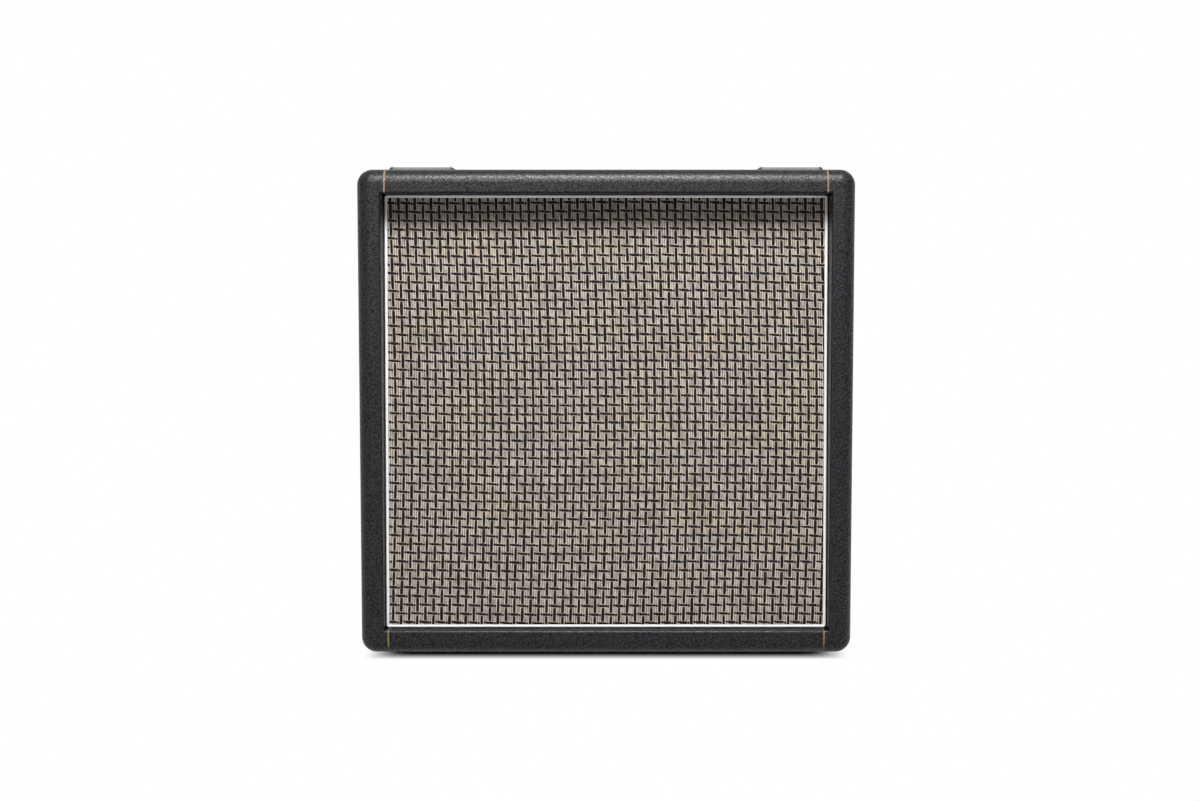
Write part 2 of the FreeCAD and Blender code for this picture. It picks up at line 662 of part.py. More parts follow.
window_out = RIM_R - WINDOW_EDGE
windows = []
for i in range(WINDOWS):
    middle = 2 * math.pi * (i + 0.5) / WINDOWS
    corners = []
    for r, a in ((window_in, -1), (window_out, -1), (window_out, 1), (window_in, 1), (window_in, -1)):
        angle = middle + a * window_half
        corners.append(Vector(r * math.cos(angle), rim_back, r * math.sin(angle)))
    windows.append(Part.Face(Part.makePolygon(corners)).extrude(Vector(0, SHELF_DEPTH - rim_back, 0)))
bolt_holes = []
for i in range(BOLTS_PER_DRIVER):
    angle = math.pi * (2 * i + 1) / BOLTS_PER_DRIVER
    x = BOLT_CIRCLE_R * math.cos(angle)
    z = BOLT_CIRCLE_R * math.sin(angle)
    bolt_holes.append(rod(BOLT_R + HOLE_GAP, Vector(x, 0, z), Vector(x, SHELF_DEPTH, z)))
gasket = ring(FRAME_R - GASKET_W, FRAME_R, 0, GASKET_T).cut(bolt_holes)
top_plate = ring(WINDING_R + COIL_GAP, PLATE_R, PLATE_FRONT, MAGNET_FRONT)
magnet = ring(MAGNET_HOLE_R, MAGNET_R, MAGNET_FRONT, YOKE_FRONT)
pole_r = FORMER_R - COIL_GAP
yoke = turned([
    (0, PLATE_FRONT), (pole_r, PLATE_FRONT), (pole_r, YOKE_FRONT), (PLATE_R, YOKE_FRONT),
    (PLATE_R, YOKE_BACK), (0, YOKE_BACK),
])
cover_in = MAGNET_R + COVER_GAP
cover_out = cover_in + COVER_T
cover_front = MAGNET_FRONT + COVER_SKIRT
cover = turned([
    (cover_in, cover_front), (cover_out, cover_front), (cover_out, YOKE_BACK + COVER_GAP + COVER_T),
    (0, YOKE_BACK + COVER_GAP + COVER_T), (0, YOKE_BACK + COVER_GAP), (cover_in, YOKE_BACK + COVER_GAP),
])

# Moving pieces of a driver
cone = turned([
    (NECK_R, NECK_DEPTH), (CONE_R, CONE_RIM_DEPTH),
    (CONE_R, CONE_RIM_DEPTH + CONE_T), (NECK_R, NECK_DEPTH + CONE_T),
])


def cap_line(radius, rise, base):
    """Arc of a cap from its rim to its top on the axis."""
    return Part.Arc(*[Vector(r, base - h, 0) for r, h in ball_arc(radius, rise)]).toShape()


cap_base = NECK_DEPTH - (CAP_R - NECK_R) * CONE_SLOPE - HOLE_GAP
cap_out = cap_line(CAP_R, CAP_RISE, cap_base)
cap_in = cap_line(CAP_R - CAP_T, CAP_RISE - CAP_T, cap_base)
cap_foot = Part.LineSegment(Vector(CAP_R, cap_base, 0), Vector(CAP_R - CAP_T, cap_base, 0)).toShape()
cap_top = cap_base - CAP_RISE
cap_axis = Part.LineSegment(Vector(0, cap_top, 0), Vector(0, cap_top + CAP_T, 0)).toShape()
cap_face = Part.Face(Part.Wire(Part.__sortEdges__([cap_out, cap_axis, cap_in, cap_foot])))
dust_cap = cap_face.revolve(Vector(0, 0, 0), Vector(0, 1, 0), 360)
winding_front = PLATE_FRONT - WINDING_OVERHANG
winding_back = MAGNET_FRONT + WINDING_OVERHANG
former = ring(FORMER_R, FORMER_OUT_R, FORMER_FRONT, winding_back + WINDING_OVERHANG)
winding = ring(FORMER_OUT_R, WINDING_R, winding_front, winding_back)


def wave_strip(r0, r1, depth, waves, height, thickness):
    """Corners of a corrugated strip from r0 to r1, crest up and down in turn."""
    front = []
    for i in range(2 * waves + 1):
        r = r0 + (r1 - r0) * i / (2 * waves)
        front.append((r, depth + (height if i % 2 else -height)))
    back = [(r, y + thickness) for r, y in reversed(front)]
    return front, back


roll_in = CONE_R + HOLE_GAP
roll_front, roll_back = wave_strip(
    roll_in, RIM_R, GASKET_T - SURROUND_ROLL_H, SURROUND_ROLLS, SURROUND_ROLL_H, SURROUND_T
)
lip_front = GASKET_T - SURROUND_T
lip_r = FRAME_R - GASKET_W - HOLE_GAP
roll_front[-1] = (RIM_R, lip_front)
roll_back[0] = (RIM_R, GASKET_T)
roll_front[0] = (roll_in, CONE_RIM_DEPTH)
roll_back[-1] = (roll_in, CONE_RIM_DEPTH + CONE_T)
surround = turned(roll_front + [(lip_r, lip_front), (lip_r, GASKET_T)] + roll_back)
spider_front = SHELF_DEPTH - SPIDER_T
wave_front, wave_back = wave_strip(
    NECK_R, step_r, spider_front - SPIDER_WAVE_H, SPIDER_WAVES, SPIDER_WAVE_H, SPIDER_T
)
wave_front[-1] = (step_r, spider_front)
wave_back[0] = (step_r, SHELF_DEPTH)
land_r = SHELF_R - SHELF_CLEAR
spider = turned(wave_front + [(land_r, spider_front), (land_r, SHELF_DEPTH)] + wave_back)

for place, (x, z) in DRIVERS.items():
    inward = -math.copysign(1, x)
    tab_x = sorted((inward * step_r, inward * (SHELF_R + TAG_LENGTH)))
    tab = box(tab_x[0], tab_x[1], SHELF_DEPTH, shelf_back, -TAG_WIDTH / 2, TAG_WIDTH / 2)
    tag_x = sorted((inward * (SHELF_R + SHELF_CLEAR), inward * (SHELF_R + TAG_LENGTH)))
    tag = box(tag_x[0], tag_x[1], shelf_back, shelf_back + TAG_T, -TAG_WIDTH / 2, TAG_WIDTH / 2)
    frame_solid = merged([basket, tab.cut(ring(0, step_r + FRAME_T / 2, 0, FAR))]).cut(windows + bolt_holes)
    sets = {
        place + "_basket": [frame_solid, tag],
        place + "_cone": [cone, dust_cap],
        place + "_voice_coil": [former, winding],
        place + "_suspension": [surround, spider],
        "driver_gaskets": [gasket],
        "driver_top_plates": [top_plate],
        "driver_magnets": [magnet],
        "driver_yokes": [yoke],
        "driver_magnet_covers": [cover],
    }
    for node, solids in sets.items():
        set_down = [in_baffle(moved(solid, x, BAFFLE_T, z)) for solid in solids]
        parts[node] = parts.get(node, []) + set_down

bolt_length = GASKET_T + FRAME_T + BAFFLE_T - TNUT_FLANGE_T
bolt = screw(BOLT_R, BOLT_HEAD_R, BOLT_HEAD_H, bolt_length)
parts["driver_bolts"] = [in_baffle(aimed(bolt, seat, Vector(0, 1, 0))) for seat in bolt_places()]
tnut = turned([
    (BOLT_R + HOLE_GAP, 0), (TNUT_FLANGE_R, 0), (TNUT_FLANGE_R, TNUT_FLANGE_T),
    (TNUT_BARREL_R, TNUT_FLANGE_T), (TNUT_BARREL_R, TNUT_BARREL_L), (BOLT_R + HOLE_GAP, TNUT_BARREL_L),
])
parts["driver_t_nuts"] = [in_baffle(moved(tnut, seat.x, 0, seat.z)) for seat in bolt_places()]

# Back panel on its battens, held through the centre post as well
back_seats = back_screw_places()
back_holes = [shank_hole(seat, way, SCREW_R, SCREW_LENGTH) for seat, way in back_seats]
jack_seats = jack_screw_places()
jack_holes = [shank_hole(seat, way, SMALL_SCREW_R, JACK_SCREW_LENGTH) for seat, way in jack_seats]
jack_hole = rod(JACK_HOLE_R, Vector(0, 0, JACK_Z), Vector(0, FAR, JACK_Z))
back_cuts = back_holes + jack_holes + [jack_hole]
for name, y0, y1 in (("back_panel", BACK_IN_Y, BACK_OUT_Y), ("covering_back", BACK_OUT_Y, BACK_FACE_Y)):
    sheet = box(-BACK_X, BACK_X, y0, y1, MID_Z - BACK_Z, MID_Z + BACK_Z)
    parts[name] = [sheet.cut(back_cuts)]
batten_front = BACK_IN_Y - BATTEN_W
in_x = INNER_X - BATTEN_W
in_z = INNER_Z - BATTEN_W
rear_battens = [
    box(-INNER_X, -in_x, batten_front, BACK_IN_Y, BOTTOM_IN_Z, TOP_IN_Z),
    box(in_x, INNER_X, batten_front, BACK_IN_Y, BOTTOM_IN_Z, TOP_IN_Z),
    box(-in_x, in_x, batten_front, BACK_IN_Y, BOTTOM_IN_Z, MID_Z - in_z),
    box(-in_x, in_x, batten_front, BACK_IN_Y, MID_Z + in_z, TOP_IN_Z),
]
parts["rear_battens"] = [batten.cut(back_holes) for batten in rear_battens]
post = box(-POST_W / 2, POST_W / 2, FRONT_Y, BACK_IN_Y, MID_Z - POST_W / 2, MID_Z + POST_W / 2)
post = post.cut(in_baffle(box(-FAR, FAR, -FAR, BAFFLE_T, -FAR, FAR)))
parts["centre_post"] = [post.cut(back_holes)]
back_screw = screw(SCREW_R, SCREW_HEAD_R, SCREW_HEAD_H, SCREW_LENGTH)
parts["back_panel_screws"] = [aimed(back_screw, seat, way) for seat, way in back_seats]

# Rubber feet, each with its screw in a well
foot_profile = turned([(0, -FOOT_HEIGHT), (FOOT_TIP_R, -FOOT_HEIGHT), (FOOT_R, 0), (0, 0)])
foot = placed(foot_profile, Placement(Vector(0, 0, FOOT_HEIGHT), Rotation(Vector(1, 0, 0), 90)))
tip_edge = [e for e in foot.Edges if e.Closed and all(abs(v.Z) < TOL for v in e.Vertexes)]
foot = foot.makeFillet(FOOT_EDGE_R, tip_edge)
screw_well = rod(SCREW_HEAD_R + RUN_GAP, Vector(0, 0, -RUN_GAP), Vector(0, 0, FOOT_HEIGHT - FOOT_SEAT_T))
parts["rubber_feet"] = [moved(foot.cut(screw_well), x, y, 0).cut(foot_holes) for x, y in FEET]
foot_screw = screw(SCREW_R, SCREW_HEAD_R, SCREW_HEAD_H, FOOT_SCREW_LENGTH)
parts["foot_screws"] = [aimed(foot_screw, seat, way) for seat, way in foot_seats]

# Stacking cups: a bevelled rim on the top and a well let into it, for the feet of a second cabinet
cup_x = CUP_LENGTH / 2
cup_y = CUP_WIDTH / 2
rim_foot = rounded_loop(cup_x, 0, cup_y, CUP_CORNER_R)
rim_top = rounded_loop(cup_x - CUP_END_BEVEL, CUP_RISE, cup_y - CUP_SIDE_BEVEL, CUP_TOP_CORNER_R)
rim = placed(
    Part.makeLoft([rim_foot, rim_top], True, True),
    Placement(Vector(0, 0, BODY_TOP), Rotation(Vector(1, 0, 0), 90)),
)
hollow_x = cup_x - CUP_RIM_W
hollow_y = cup_y - CUP_RIM_W
wall_x = hollow_x + CUP_WALL
wall_y = hollow_y + CUP_WALL
well = box(-wall_x, wall_x, -wall_y, wall_y, CUP_FLOOR_Z - CUP_WALL, BODY_TOP)
hollow = box(-hollow_x, hollow_x, -hollow_y, hollow_y, CUP_FLOOR_Z, BODY_TOP + FAR)
hollow = hollow.makeFillet(CUP_HOLLOW_R, edges_along(hollow, Vector(0, 0, 1)))
cup = merged([rim, well]).cut(hollow)
for name, (x, y) in CUPS.items():
    parts[name] = [moved(cup, x, y, 0).cut(cup_holes)]
cup_screw = screw(SMALL_SCREW_R, CUP_HEAD_R, CUP_HEAD_H, CUP_SCREW_LENGTH)
parts["stacking_cup_screws"] = [
    aimed(cup_screw, seat, way) for x, y in CUPS.values() for seat, way in cup_screw_places(x, y)
]

# Side handles: a flange outside, a pan let into the side, and a grip across the top of the mouth
flange_y = HANDLE_LENGTH / 2
flange_z = HANDLE_HEIGHT / 2
flange_x = SIDE_X + HANDLE_FLANGE_T
flange_plate = box(SIDE_X, flange_x, -flange_y, flange_y, -flange_z, flange_z)
flange_plate = flange_plate.makeFillet(HANDLE_CORNER_R, edges_along(flange_plate, Vector(1, 0, 0)))
outer_rim = [e for e in flange_plate.Edges if all(abs(v.X - flange_x) < TOL for v in e.Vertexes)]
flange_plate = flange_plate.makeFillet(HANDLE_FLANGE_T / 2, outer_rim)
pan = box(SIDE_X - HANDLE_DEPTH, SIDE_X, -PAN_Y, PAN_Y, -PAN_Z, PAN_Z)
pan = pan.makeFillet(HANDLE_WALL, [e for e in pan.Edges if all(v.X < SIDE_X - TOL for v in e.Vertexes)])
in_y = PAN_Y - HANDLE_WALL
in_z = PAN_Z - HANDLE_WALL
floor_x = SIDE_X - HANDLE_DEPTH + HANDLE_WALL
mouth_top = in_z - HANDLE_GRIP_H
hollow = box(floor_x, flange_x - HANDLE_GRIP_T, -in_y, in_y, -in_z, in_z)
mouth = box(floor_x, SIDE_X + FAR, -in_y, in_y, -in_z, mouth_top)
handle = merged([flange_plate, pan]).cut([hollow, mouth])
grip_edges = [
    e for e in handle.Edges
    if all(abs(v.Z - mouth_top) < TOL and v.X > floor_x + HANDLE_WALL for v in e.Vertexes)
    and abs(e.tangentAt(e.FirstParameter).y) > 1 - TOL
]
handle = handle.makeFillet(HANDLE_GRIP_R, grip_edges)
handle = moved(handle, 0, HANDLE_Y, HANDLE_Z)
mirror_x = Vector(1, 0, 0)
for name, side in HANDLES.items():
    shape = handle if side > 0 else handle.mirror(Vector(0, 0, 0), mirror_x)
    parts[name] = [shape.cut(handle_holes)]
handle_screw = screw(SCREW_R, SCREW_HEAD_R, SCREW_HEAD_H, HANDLE_SCREW_LENGTH)
parts["handle_screws"] = [
    aimed(handle_screw, seat, way) for side in HANDLES.values() for seat, way in handle_screw_places(side)
]

# Jack: plate on the back, frame with its bush, wafers, tip spring, washer and nut
half_w = JACK_PLATE_W / 2
half_h = JACK_PLATE_H / 2
plate_out_y = BACK_FACE_Y + JACK_PLATE_T
plate = box(-half_w, half_w, BACK_FACE_Y, plate_out_y, JACK_Z - half_h, JACK_Z + half_h)
plate = plate.makeFillet(JACK_PLATE_CORNER_R, edges_along(plate, Vector(0, 1, 0)))
bush_hole = rod(BUSH_R + HOLE_GAP, Vector(0, 0, JACK_Z), Vector(0, FAR, JACK_Z))
parts["jack_plate"] = [plate.cut(jack_holes + [bush_hole])]
plate_screw = screw(SMALL_SCREW_R, SMALL_HEAD_R, SMALL_HEAD_H, JACK_SCREW_LENGTH)
parts["jack_plate_screws"] = [aimed(plate_screw, seat, way) for seat, way in jack_seats]

frame_y = BACK_FACE_Y - JACK_FRAME_T
half = JACK_FLANGE / 2
arm_z = JACK_Z + JACK_ARM_OFFSET
bush = rod(BUSH_R, Vector(0, frame_y, JACK_Z), Vector(0, plate_out_y + BUSH_PROUD, JACK_Z))
face_plate = box(-half, half, frame_y, BACK_FACE_Y, JACK_Z - half, arm_z + JACK_FRAME_T)
arm = box(-JACK_ARM_W / 2, JACK_ARM_W / 2, frame_y - JACK_ARM_L, frame_y, arm_z, arm_z + JACK_FRAME_T)
bush_bore = rod(BUSH_BORE_R, Vector(0, 0, JACK_Z), Vector(0, FAR, JACK_Z))
parts["jack_frame"] = [merged([bush, face_plate, arm]).cut(bush_bore)]

wafer_y = frame_y - WAFER_START
upper_z = arm_z - WAFER_T
leaf_top = upper_z
leaf_z = leaf_top - LEAF_T
half = JACK_ARM_W / 2
upper_wafer = box(-half, half, wafer_y - WAFER_L, wafer_y, upper_z, arm_z)
lower_wafer = box(-half, half, wafer_y - WAFER_L, wafer_y, leaf_z - WAFER_T, leaf_z)
leaf_root = box(-LEAF_W / 2, LEAF_W / 2, wafer_y - WAFER_L, wafer_y, leaf_z, leaf_top)
parts["jack_wafers"] = [upper_wafer, lower_wafer, leaf_root]

root_y = wafer_y - WAFER_L - RUN_GAP
low_z = JACK_Z + LEAF_LOW
leaf_line = [
    (root_y, leaf_z), (root_y - LEAF_RUN, leaf_z),
    (root_y - LEAF_DIP, low_z), (root_y - LEAF_DIP - LEAF_LIFT, leaf_z),
]
leaf_corners = [Vector(-LEAF_W / 2, y, z) for y, z in leaf_line]
leaf_corners += [Vector(-LEAF_W / 2, y, z + LEAF_T) for y, z in reversed(leaf_line)]
leaf_face = Part.Face(Part.makePolygon(leaf_corners + leaf_corners[:1]))
parts["jack_tip_spring"] = [leaf_face.extrude(Vector(LEAF_W, 0, 0))]

washer = ring(BUSH_R + HOLE_GAP, WASHER_R, 0, WASHER_T)
nut_corner = NUT_FLATS / math.sqrt(3)
turns = [math.pi * i / 3 for i in range(7)]
hexagon = [Vector(nut_corner * math.cos(turn), 0, nut_corner * math.sin(turn)) for turn in turns]
nut = Part.Face(Part.makePolygon(hexagon)).extrude(Vector(0, NUT_T, 0))
nut = nut.cut(ring(0, BUSH_R + HOLE_GAP, 0, NUT_T))
parts["jack_nut_and_washer"] = [
    moved(washer, 0, plate_out_y, JACK_Z),
    moved(nut, 0, plate_out_y + WASHER_T, JACK_Z),
]

# Leads from the jack to the lower drivers, and on to the upper ones, with the right side mirrored


def tag_point(place, shift, away):
    """Point behind a driver's terminal strip, shifted along it and so far away from its face."""
    x, z = DRIVERS[place]
    inward = -math.copysign(1, x)
    reach = SHELF_R + TAG_LENGTH / 2 + FRAME_T
    behind = BAFFLE_T + shelf_back + TAG_T + away
    return BAFFLE_FRAME.multVec(Vector(x + inward * reach, behind, z + shift))


# The runs leave their terminals square; between them the points are where a loose lead would hang.
tag_shift = TAG_WIDTH / 4
jack_end = Vector(-JACK_ARM_W / 2 - RUN_GAP, wafer_y - WAFER_L / 2, leaf_z)
low_out = tag_point("lower_left", -tag_shift, LEAD_RUN_OUT)
feed_points = [
    jack_end,
    jack_end + Vector(-10, 0, 0),
    jack_end + Vector(-18, -26, -2),
    jack_end + Vector(-34, -66, -8),
    jack_end + Vector(-54, -108, -10),
    low_out + Vector(6, 40, -6),
    low_out,
    tag_point("lower_left", -tag_shift, RUN_GAP),
]
link_start = tag_point("lower_left", tag_shift, LEAD_RUN_OUT)
link_end = tag_point("upper_left", -tag_shift, LEAD_RUN_OUT)
rise = (link_end - link_start) / 5
link_points = [
    tag_point("lower_left", tag_shift, RUN_GAP),
    link_start,
    link_start + rise + Vector(12, 18, 0),
    link_start + rise * 2 + Vector(16, 24, 0),
    link_start + rise * 3 + Vector(16, 24, 0),
    link_start + rise * 4 + Vector(12, 18, 0),
    link_end,
    tag_point("upper_left", -tag_shift, RUN_GAP),
]
left_leads = [tube(feed_points, LEAD_D), tube(link_points, LEAD_D)]
parts["speaker_leads"] = left_leads + [lead.mirror(Vector(0, 0, 0), mirror_x) for lead in left_leads]

os.makedirs("parts", exist_ok=True)
for name, solids in parts.items():
    shape = solids[0] if len(solids) == 1 else Part.makeCompound(solids)
    count = len(shape.Solids)
    print(name, count, "solids", "valid" if shape.isValid() else "NOT VALID", round(shape.Volume), "mm3")
    shape.exportStep("parts/" + name + ".step")
print(len(parts), "nodes; lean", round(math.degrees(LEAN), 3), "frame radius", round(FRAME_R, 2))
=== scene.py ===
import math
from functools import partial

import bmesh
import bpy
from mathutils import Euler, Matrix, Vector


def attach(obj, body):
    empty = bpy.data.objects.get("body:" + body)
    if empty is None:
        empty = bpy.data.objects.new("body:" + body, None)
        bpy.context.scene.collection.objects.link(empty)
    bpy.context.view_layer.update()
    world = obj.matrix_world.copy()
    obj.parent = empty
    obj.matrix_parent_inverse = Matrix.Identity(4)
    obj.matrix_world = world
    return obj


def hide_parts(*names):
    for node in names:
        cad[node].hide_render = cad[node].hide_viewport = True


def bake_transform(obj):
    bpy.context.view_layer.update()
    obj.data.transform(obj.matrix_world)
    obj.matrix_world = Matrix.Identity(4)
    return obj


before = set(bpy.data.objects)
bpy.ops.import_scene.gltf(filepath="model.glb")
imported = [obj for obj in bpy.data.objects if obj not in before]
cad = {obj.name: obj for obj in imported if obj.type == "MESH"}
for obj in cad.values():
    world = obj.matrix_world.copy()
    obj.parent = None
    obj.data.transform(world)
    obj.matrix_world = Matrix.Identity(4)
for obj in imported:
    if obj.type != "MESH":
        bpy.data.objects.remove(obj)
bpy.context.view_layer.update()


# Shell: side, top and bottom panels, front rails, battens, centre post, baffle board and back panel.
# Birch plywood in many thin plies, finger jointed and glued; battens and post are glued and screwed.
# The plies show on the edges, and the face veneer has a long soft grain.
PLY = 0.0014
PLY_ENDS = PLY * 0.4
NEXT_PLY_STARTS = PLY * 0.6
PLY_SHADE = 0.35
GRAIN_SCALE = 95.0
GRAIN_STRETCH = 0.93
BIRCH_LIGHT = (0.58, 0.42, 0.25, 1)
BIRCH_DARK = (0.36, 0.23, 0.12, 1)
BIRCH_ROUGHNESS = 0.62
ACROSS = (1, 0, 0)
BACKWARDS = (0, 1, 0)
UPWARDS = (0, 0, 1)
EVERY_WAY = (1, 1, 1)
BAFFLE_LEAN = math.radians(1.8503)
THROUGH_BAFFLE = (0, math.cos(BAFFLE_LEAN), -math.sin(BAFFLE_LEAN))


def add(tree, kind, inputs=None, **settings):
    """Node of one kind, with its settings; each input takes a value or another node's output."""
    node = tree.nodes.new(kind)
    for name, value in settings.items():
        setattr(node, name, value)
    for name, value in (inputs or {}).items():
        if isinstance(value, bpy.types.NodeSocket):
            tree.links.new(value, node.inputs[name])
        else:
            node.inputs[name].default_value = value
    return node


def math_node(tree, operation, first, second=0.0, third=0.0):
    """Result of one sum on up to three values or outputs."""
    return add(tree, "ShaderNodeMath", {0: first, 1: second, 2: third}, operation=operation).outputs[0]


def vector_node(tree, operation, first, second=(0, 0, 0), scale=1.0):
    """Result of one sum on vectors or outputs; the scale is the fourth socket."""
    inputs = {0: first, 1: second, 3: scale}
    return add(tree, "ShaderNodeVectorMath", inputs, operation=operation).outputs[0]


def noise(tree, place, scale, detail, roughness=0.5):
    """Outputs of a fractal noise over a place."""
    inputs = {"Vector": place, "Scale": scale, "Detail": detail, "Roughness": roughness}
    return add(tree, "ShaderNodeTexNoise", inputs).outputs


def ranged(tree, value, start, end, to_start=0.0, to_end=1.0):
    """Value carried smoothly from one range to another."""
    inputs = {"Value": value, "From Min": start, "From Max": end, "To Min": to_start, "To Max": to_end}
    return add(tree, "ShaderNodeMapRange", inputs, interpolation_type="SMOOTHSTEP").outputs[0]


def mixed(tree, share, first, second):
    """Colour between two colours or outputs."""
    return add(tree, "ShaderNodeMix", {0: share, 6: first, 7: second}, data_type="RGBA").outputs[2]


def new_group(name, kind, inputs, outputs):
    """Node group with named sockets, each of its own kind; gives the tree, its inputs and its outputs."""
    tree = bpy.data.node_groups.new(name, kind)
    for way, sockets in (("INPUT", inputs), ("OUTPUT", outputs)):
        for label, socket in sockets.items():
            tree.interface.new_socket(label, in_out=way, socket_type="NodeSocket" + socket)
    return tree, tree.nodes.new("NodeGroupInput").outputs, tree.nodes.new("NodeGroupOutput").inputs


def new_finish(name, **sockets):
    """Material with one Principled shader; gives it with its tree, the shader and Object coordinates."""
    material = bpy.data.materials.new(name)
    material.use_nodes = True
    tree = material.node_tree
    shader = tree.nodes["Principled BSDF"]
    for label, value in sockets.items():
        shader.inputs[label.replace("_", " ")].default_value = value
    return material, tree, shader, tree.nodes.new("ShaderNodeTexCoord").outputs["Object"]


def raise_bump(tree, shader, height, strength, depth):
    """Lets a height turn the surface's normal."""
    bump = add(tree, "ShaderNodeBump", {"Height": height, "Strength": strength, "Distance": depth})
    tree.links.new(bump.outputs["Normal"], shader.inputs["Normal"])


def coat(material, *names):
    """Gives a finish to CAD nodes, in their own slots."""
    for name in names:
        for slot in cad[name].material_slots:
            slot.material = material


birch, birch_in, birch_out = new_group(
    "birch_plies", "ShaderNodeTree", {"Vector": "Vector", "Through": "Vector", "Along": "Vector"},
    {"Colour": "Color", "Height": "Float"},
)
depth = add(birch, "ShaderNodeVectorMath", {
    0: birch_in["Vector"], 1: birch_in["Through"],
}, operation="DOT_PRODUCT").outputs["Value"]
layer = ranged(birch, math_node(birch, "PINGPONG", depth, PLY), PLY_ENDS, NEXT_PLY_STARTS)
stretch = vector_node(birch, "SCALE", birch_in["Along"], scale=-GRAIN_STRETCH)
stretch = vector_node(birch, "ADD", stretch, EVERY_WAY)
grain_way = vector_node(birch, "MULTIPLY", birch_in["Vector"], stretch)
grain = noise(birch, grain_way, GRAIN_SCALE, detail=5.0)["Fac"]
veneer = mixed(birch, ranged(birch, grain, start=0.3, end=0.7), BIRCH_DARK, BIRCH_LIGHT)
plies = mixed(birch, math_node(birch, "MULTIPLY", layer, PLY_SHADE), veneer, BIRCH_DARK)
birch.links.new(plies, birch_out["Colour"])
birch.links.new(grain, birch_out["Height"])


def birch_board(name, through, along):
    """Plywood whose plies lie square to one direction, with its grain along another."""
    material, tree, shader, place = new_finish(name, Roughness=BIRCH_ROUGHNESS)
    inputs = {"Vector": place, "Through": through, "Along": along}
    board = add(tree, "ShaderNodeGroup", inputs, node_tree=birch).outputs
    tree.links.new(board["Colour"], shader.inputs["Base Color"])
    raise_bump(tree, shader, board["Height"], strength=0.25, depth=0.0003)
    return material


birch_upright = birch_board("birch_upright", through=ACROSS, along=UPWARDS)
birch_level = birch_board("birch_level", through=UPWARDS, along=ACROSS)
birch_back = birch_board("birch_back", through=BACKWARDS, along=ACROSS)
birch_baffle = birch_board("birch_baffle", through=THROUGH_BAFFLE, along=ACROSS)
coat(birch_upright, "side_panel_left", "side_panel_right", "front_frame_rails")
coat(birch_level, "top_panel", "bottom_panel")
coat(birch_back, "back_panel", "rear_battens", "centre_post")
coat(birch_baffle, "baffle_board", "baffle_battens")


# Covering: black leathercloth in four pieces round the shell and a fifth on the back panel.
# Vinyl on cloth, embossed with a levant grain of short curved wrinkles, satin where they are worn smooth.
# It is glued down, turned in over the front frame and the rear edge, and butted at the seams.
VINYL_FACE = (0.0065, 0.0058, 0.0105, 1)
# The crease colour is painted shade: the creases between the wrinkles are painted darker than their faces.
VINYL_CREASE_SHADE = (0.0008, 0.0008, 0.0012, 1)
VINYL_SPECULAR = 0.10
FACE_GLOSS = 0.73
CREASE_GLOSS = 0.14
FACE_ROUGHNESS = 0.36
CREASE_ROUGHNESS = 0.48
WARP_SCALE = 150.0
WARP_SIZE = 0.005
WRINKLE_SCALE = 430.0
WRINKLE_TURN = (math.radians(35), math.radians(-40), math.radians(-20))
WRINKLE_STRETCH = (1.0, 1.1, 3.2)
WRINKLE_EDGE = 0.28
WRINKLE_RISE = 0.55
WRINKLE_DEPTH = 0.0012
FOLD_SCALE = 260.0
FOLD_RISE = 0.9

vinyl, tree, shader, place = new_finish(
    "levant_vinyl", Specular_IOR_Level=VINYL_SPECULAR, Coat_Roughness=FACE_ROUGHNESS,
)
drift = noise(tree, place, WARP_SCALE, detail=2.0)["Color"]
warped = vector_node(tree, "ADD", place, vector_node(tree, "SCALE", drift, scale=WARP_SIZE))
slanted = add(tree, "ShaderNodeMapping", {
    "Vector": warped, "Rotation": WRINKLE_TURN, "Scale": WRINKLE_STRETCH,
}, vector_type="TEXTURE").outputs[0]
cells = add(tree, "ShaderNodeTexVoronoi", {
    "Vector": slanted, "Scale": WRINKLE_SCALE,
}, feature="DISTANCE_TO_EDGE").outputs["Distance"]
pebble = ranged(tree, cells, start=0.0, end=WRINKLE_EDGE)
fold = noise(tree, slanted, FOLD_SCALE, detail=2.0)["Fac"]
height = math_node(tree, "MULTIPLY_ADD", fold, FOLD_RISE, math_node(tree, "MULTIPLY", pebble, WRINKLE_RISE))
dullness = ranged(tree, height, start=0.3, end=1.2, to_start=CREASE_ROUGHNESS, to_end=FACE_ROUGHNESS)
gloss = ranged(tree, pebble, start=0.0, end=1.0, to_start=CREASE_GLOSS, to_end=FACE_GLOSS)
# Painted shade: the creases of the grain take the darker colour, the wrinkle faces the lighter one.
tree.links.new(mixed(tree, pebble, VINYL_CREASE_SHADE, VINYL_FACE), shader.inputs["Base Color"])
tree.links.new(dullness, shader.inputs["Roughness"])
tree.links.new(gloss, shader.inputs["Coat Weight"])
raise_bump(tree, shader, height, strength=0.30, depth=WRINKLE_DEPTH)
coat(vinyl, "covering_left", "covering_right", "covering_top", "covering_bottom", "covering_back")


# Seam strings: gold string pressed into the four seams of the covering.
# Three strands of metallic yarn laid together, a little proud of the vinyl on both sides of it.
# They run from the rebate at the back over the top or bottom, and into the recess as far as the piping.
STRING_X = 0.341
STRING_R = 0.00056
STRING_SUNK = 0.0005
STRING_LAY = 0.0042
STRING_STEP = 0.0008
STRING_STRANDS = 3
POINTS_PER_STRAND = 4
STRING_GROOVE = 0.16
STRING_GOLD = (0.18, 0.168, 0.034, 1)
STRING_SHADE = (0.105, 0.09, 0.018, 1)
FIBRE_SCALE = 1900.0
MID_Z = 0.3875
TOP_Z = 0.3775 - STRING_SUNK
LIP_Z = 0.3405 + STRING_SUNK
REBATE_Z = 0.3575 + STRING_SUNK
FRONT_Y = -0.1825 + STRING_SUNK
REAR_Y = 0.1825 - STRING_SUNK
REBATE_Y = 0.1729
STRING_STOPS = {1: -0.1419, -1: -0.1637}
FRONT_BEND = 0.020 - STRING_SUNK
REAR_BEND = 0.010 - STRING_SUNK
LIP_BEND = 0.003 - STRING_SUNK
TURN_STEPS = 8


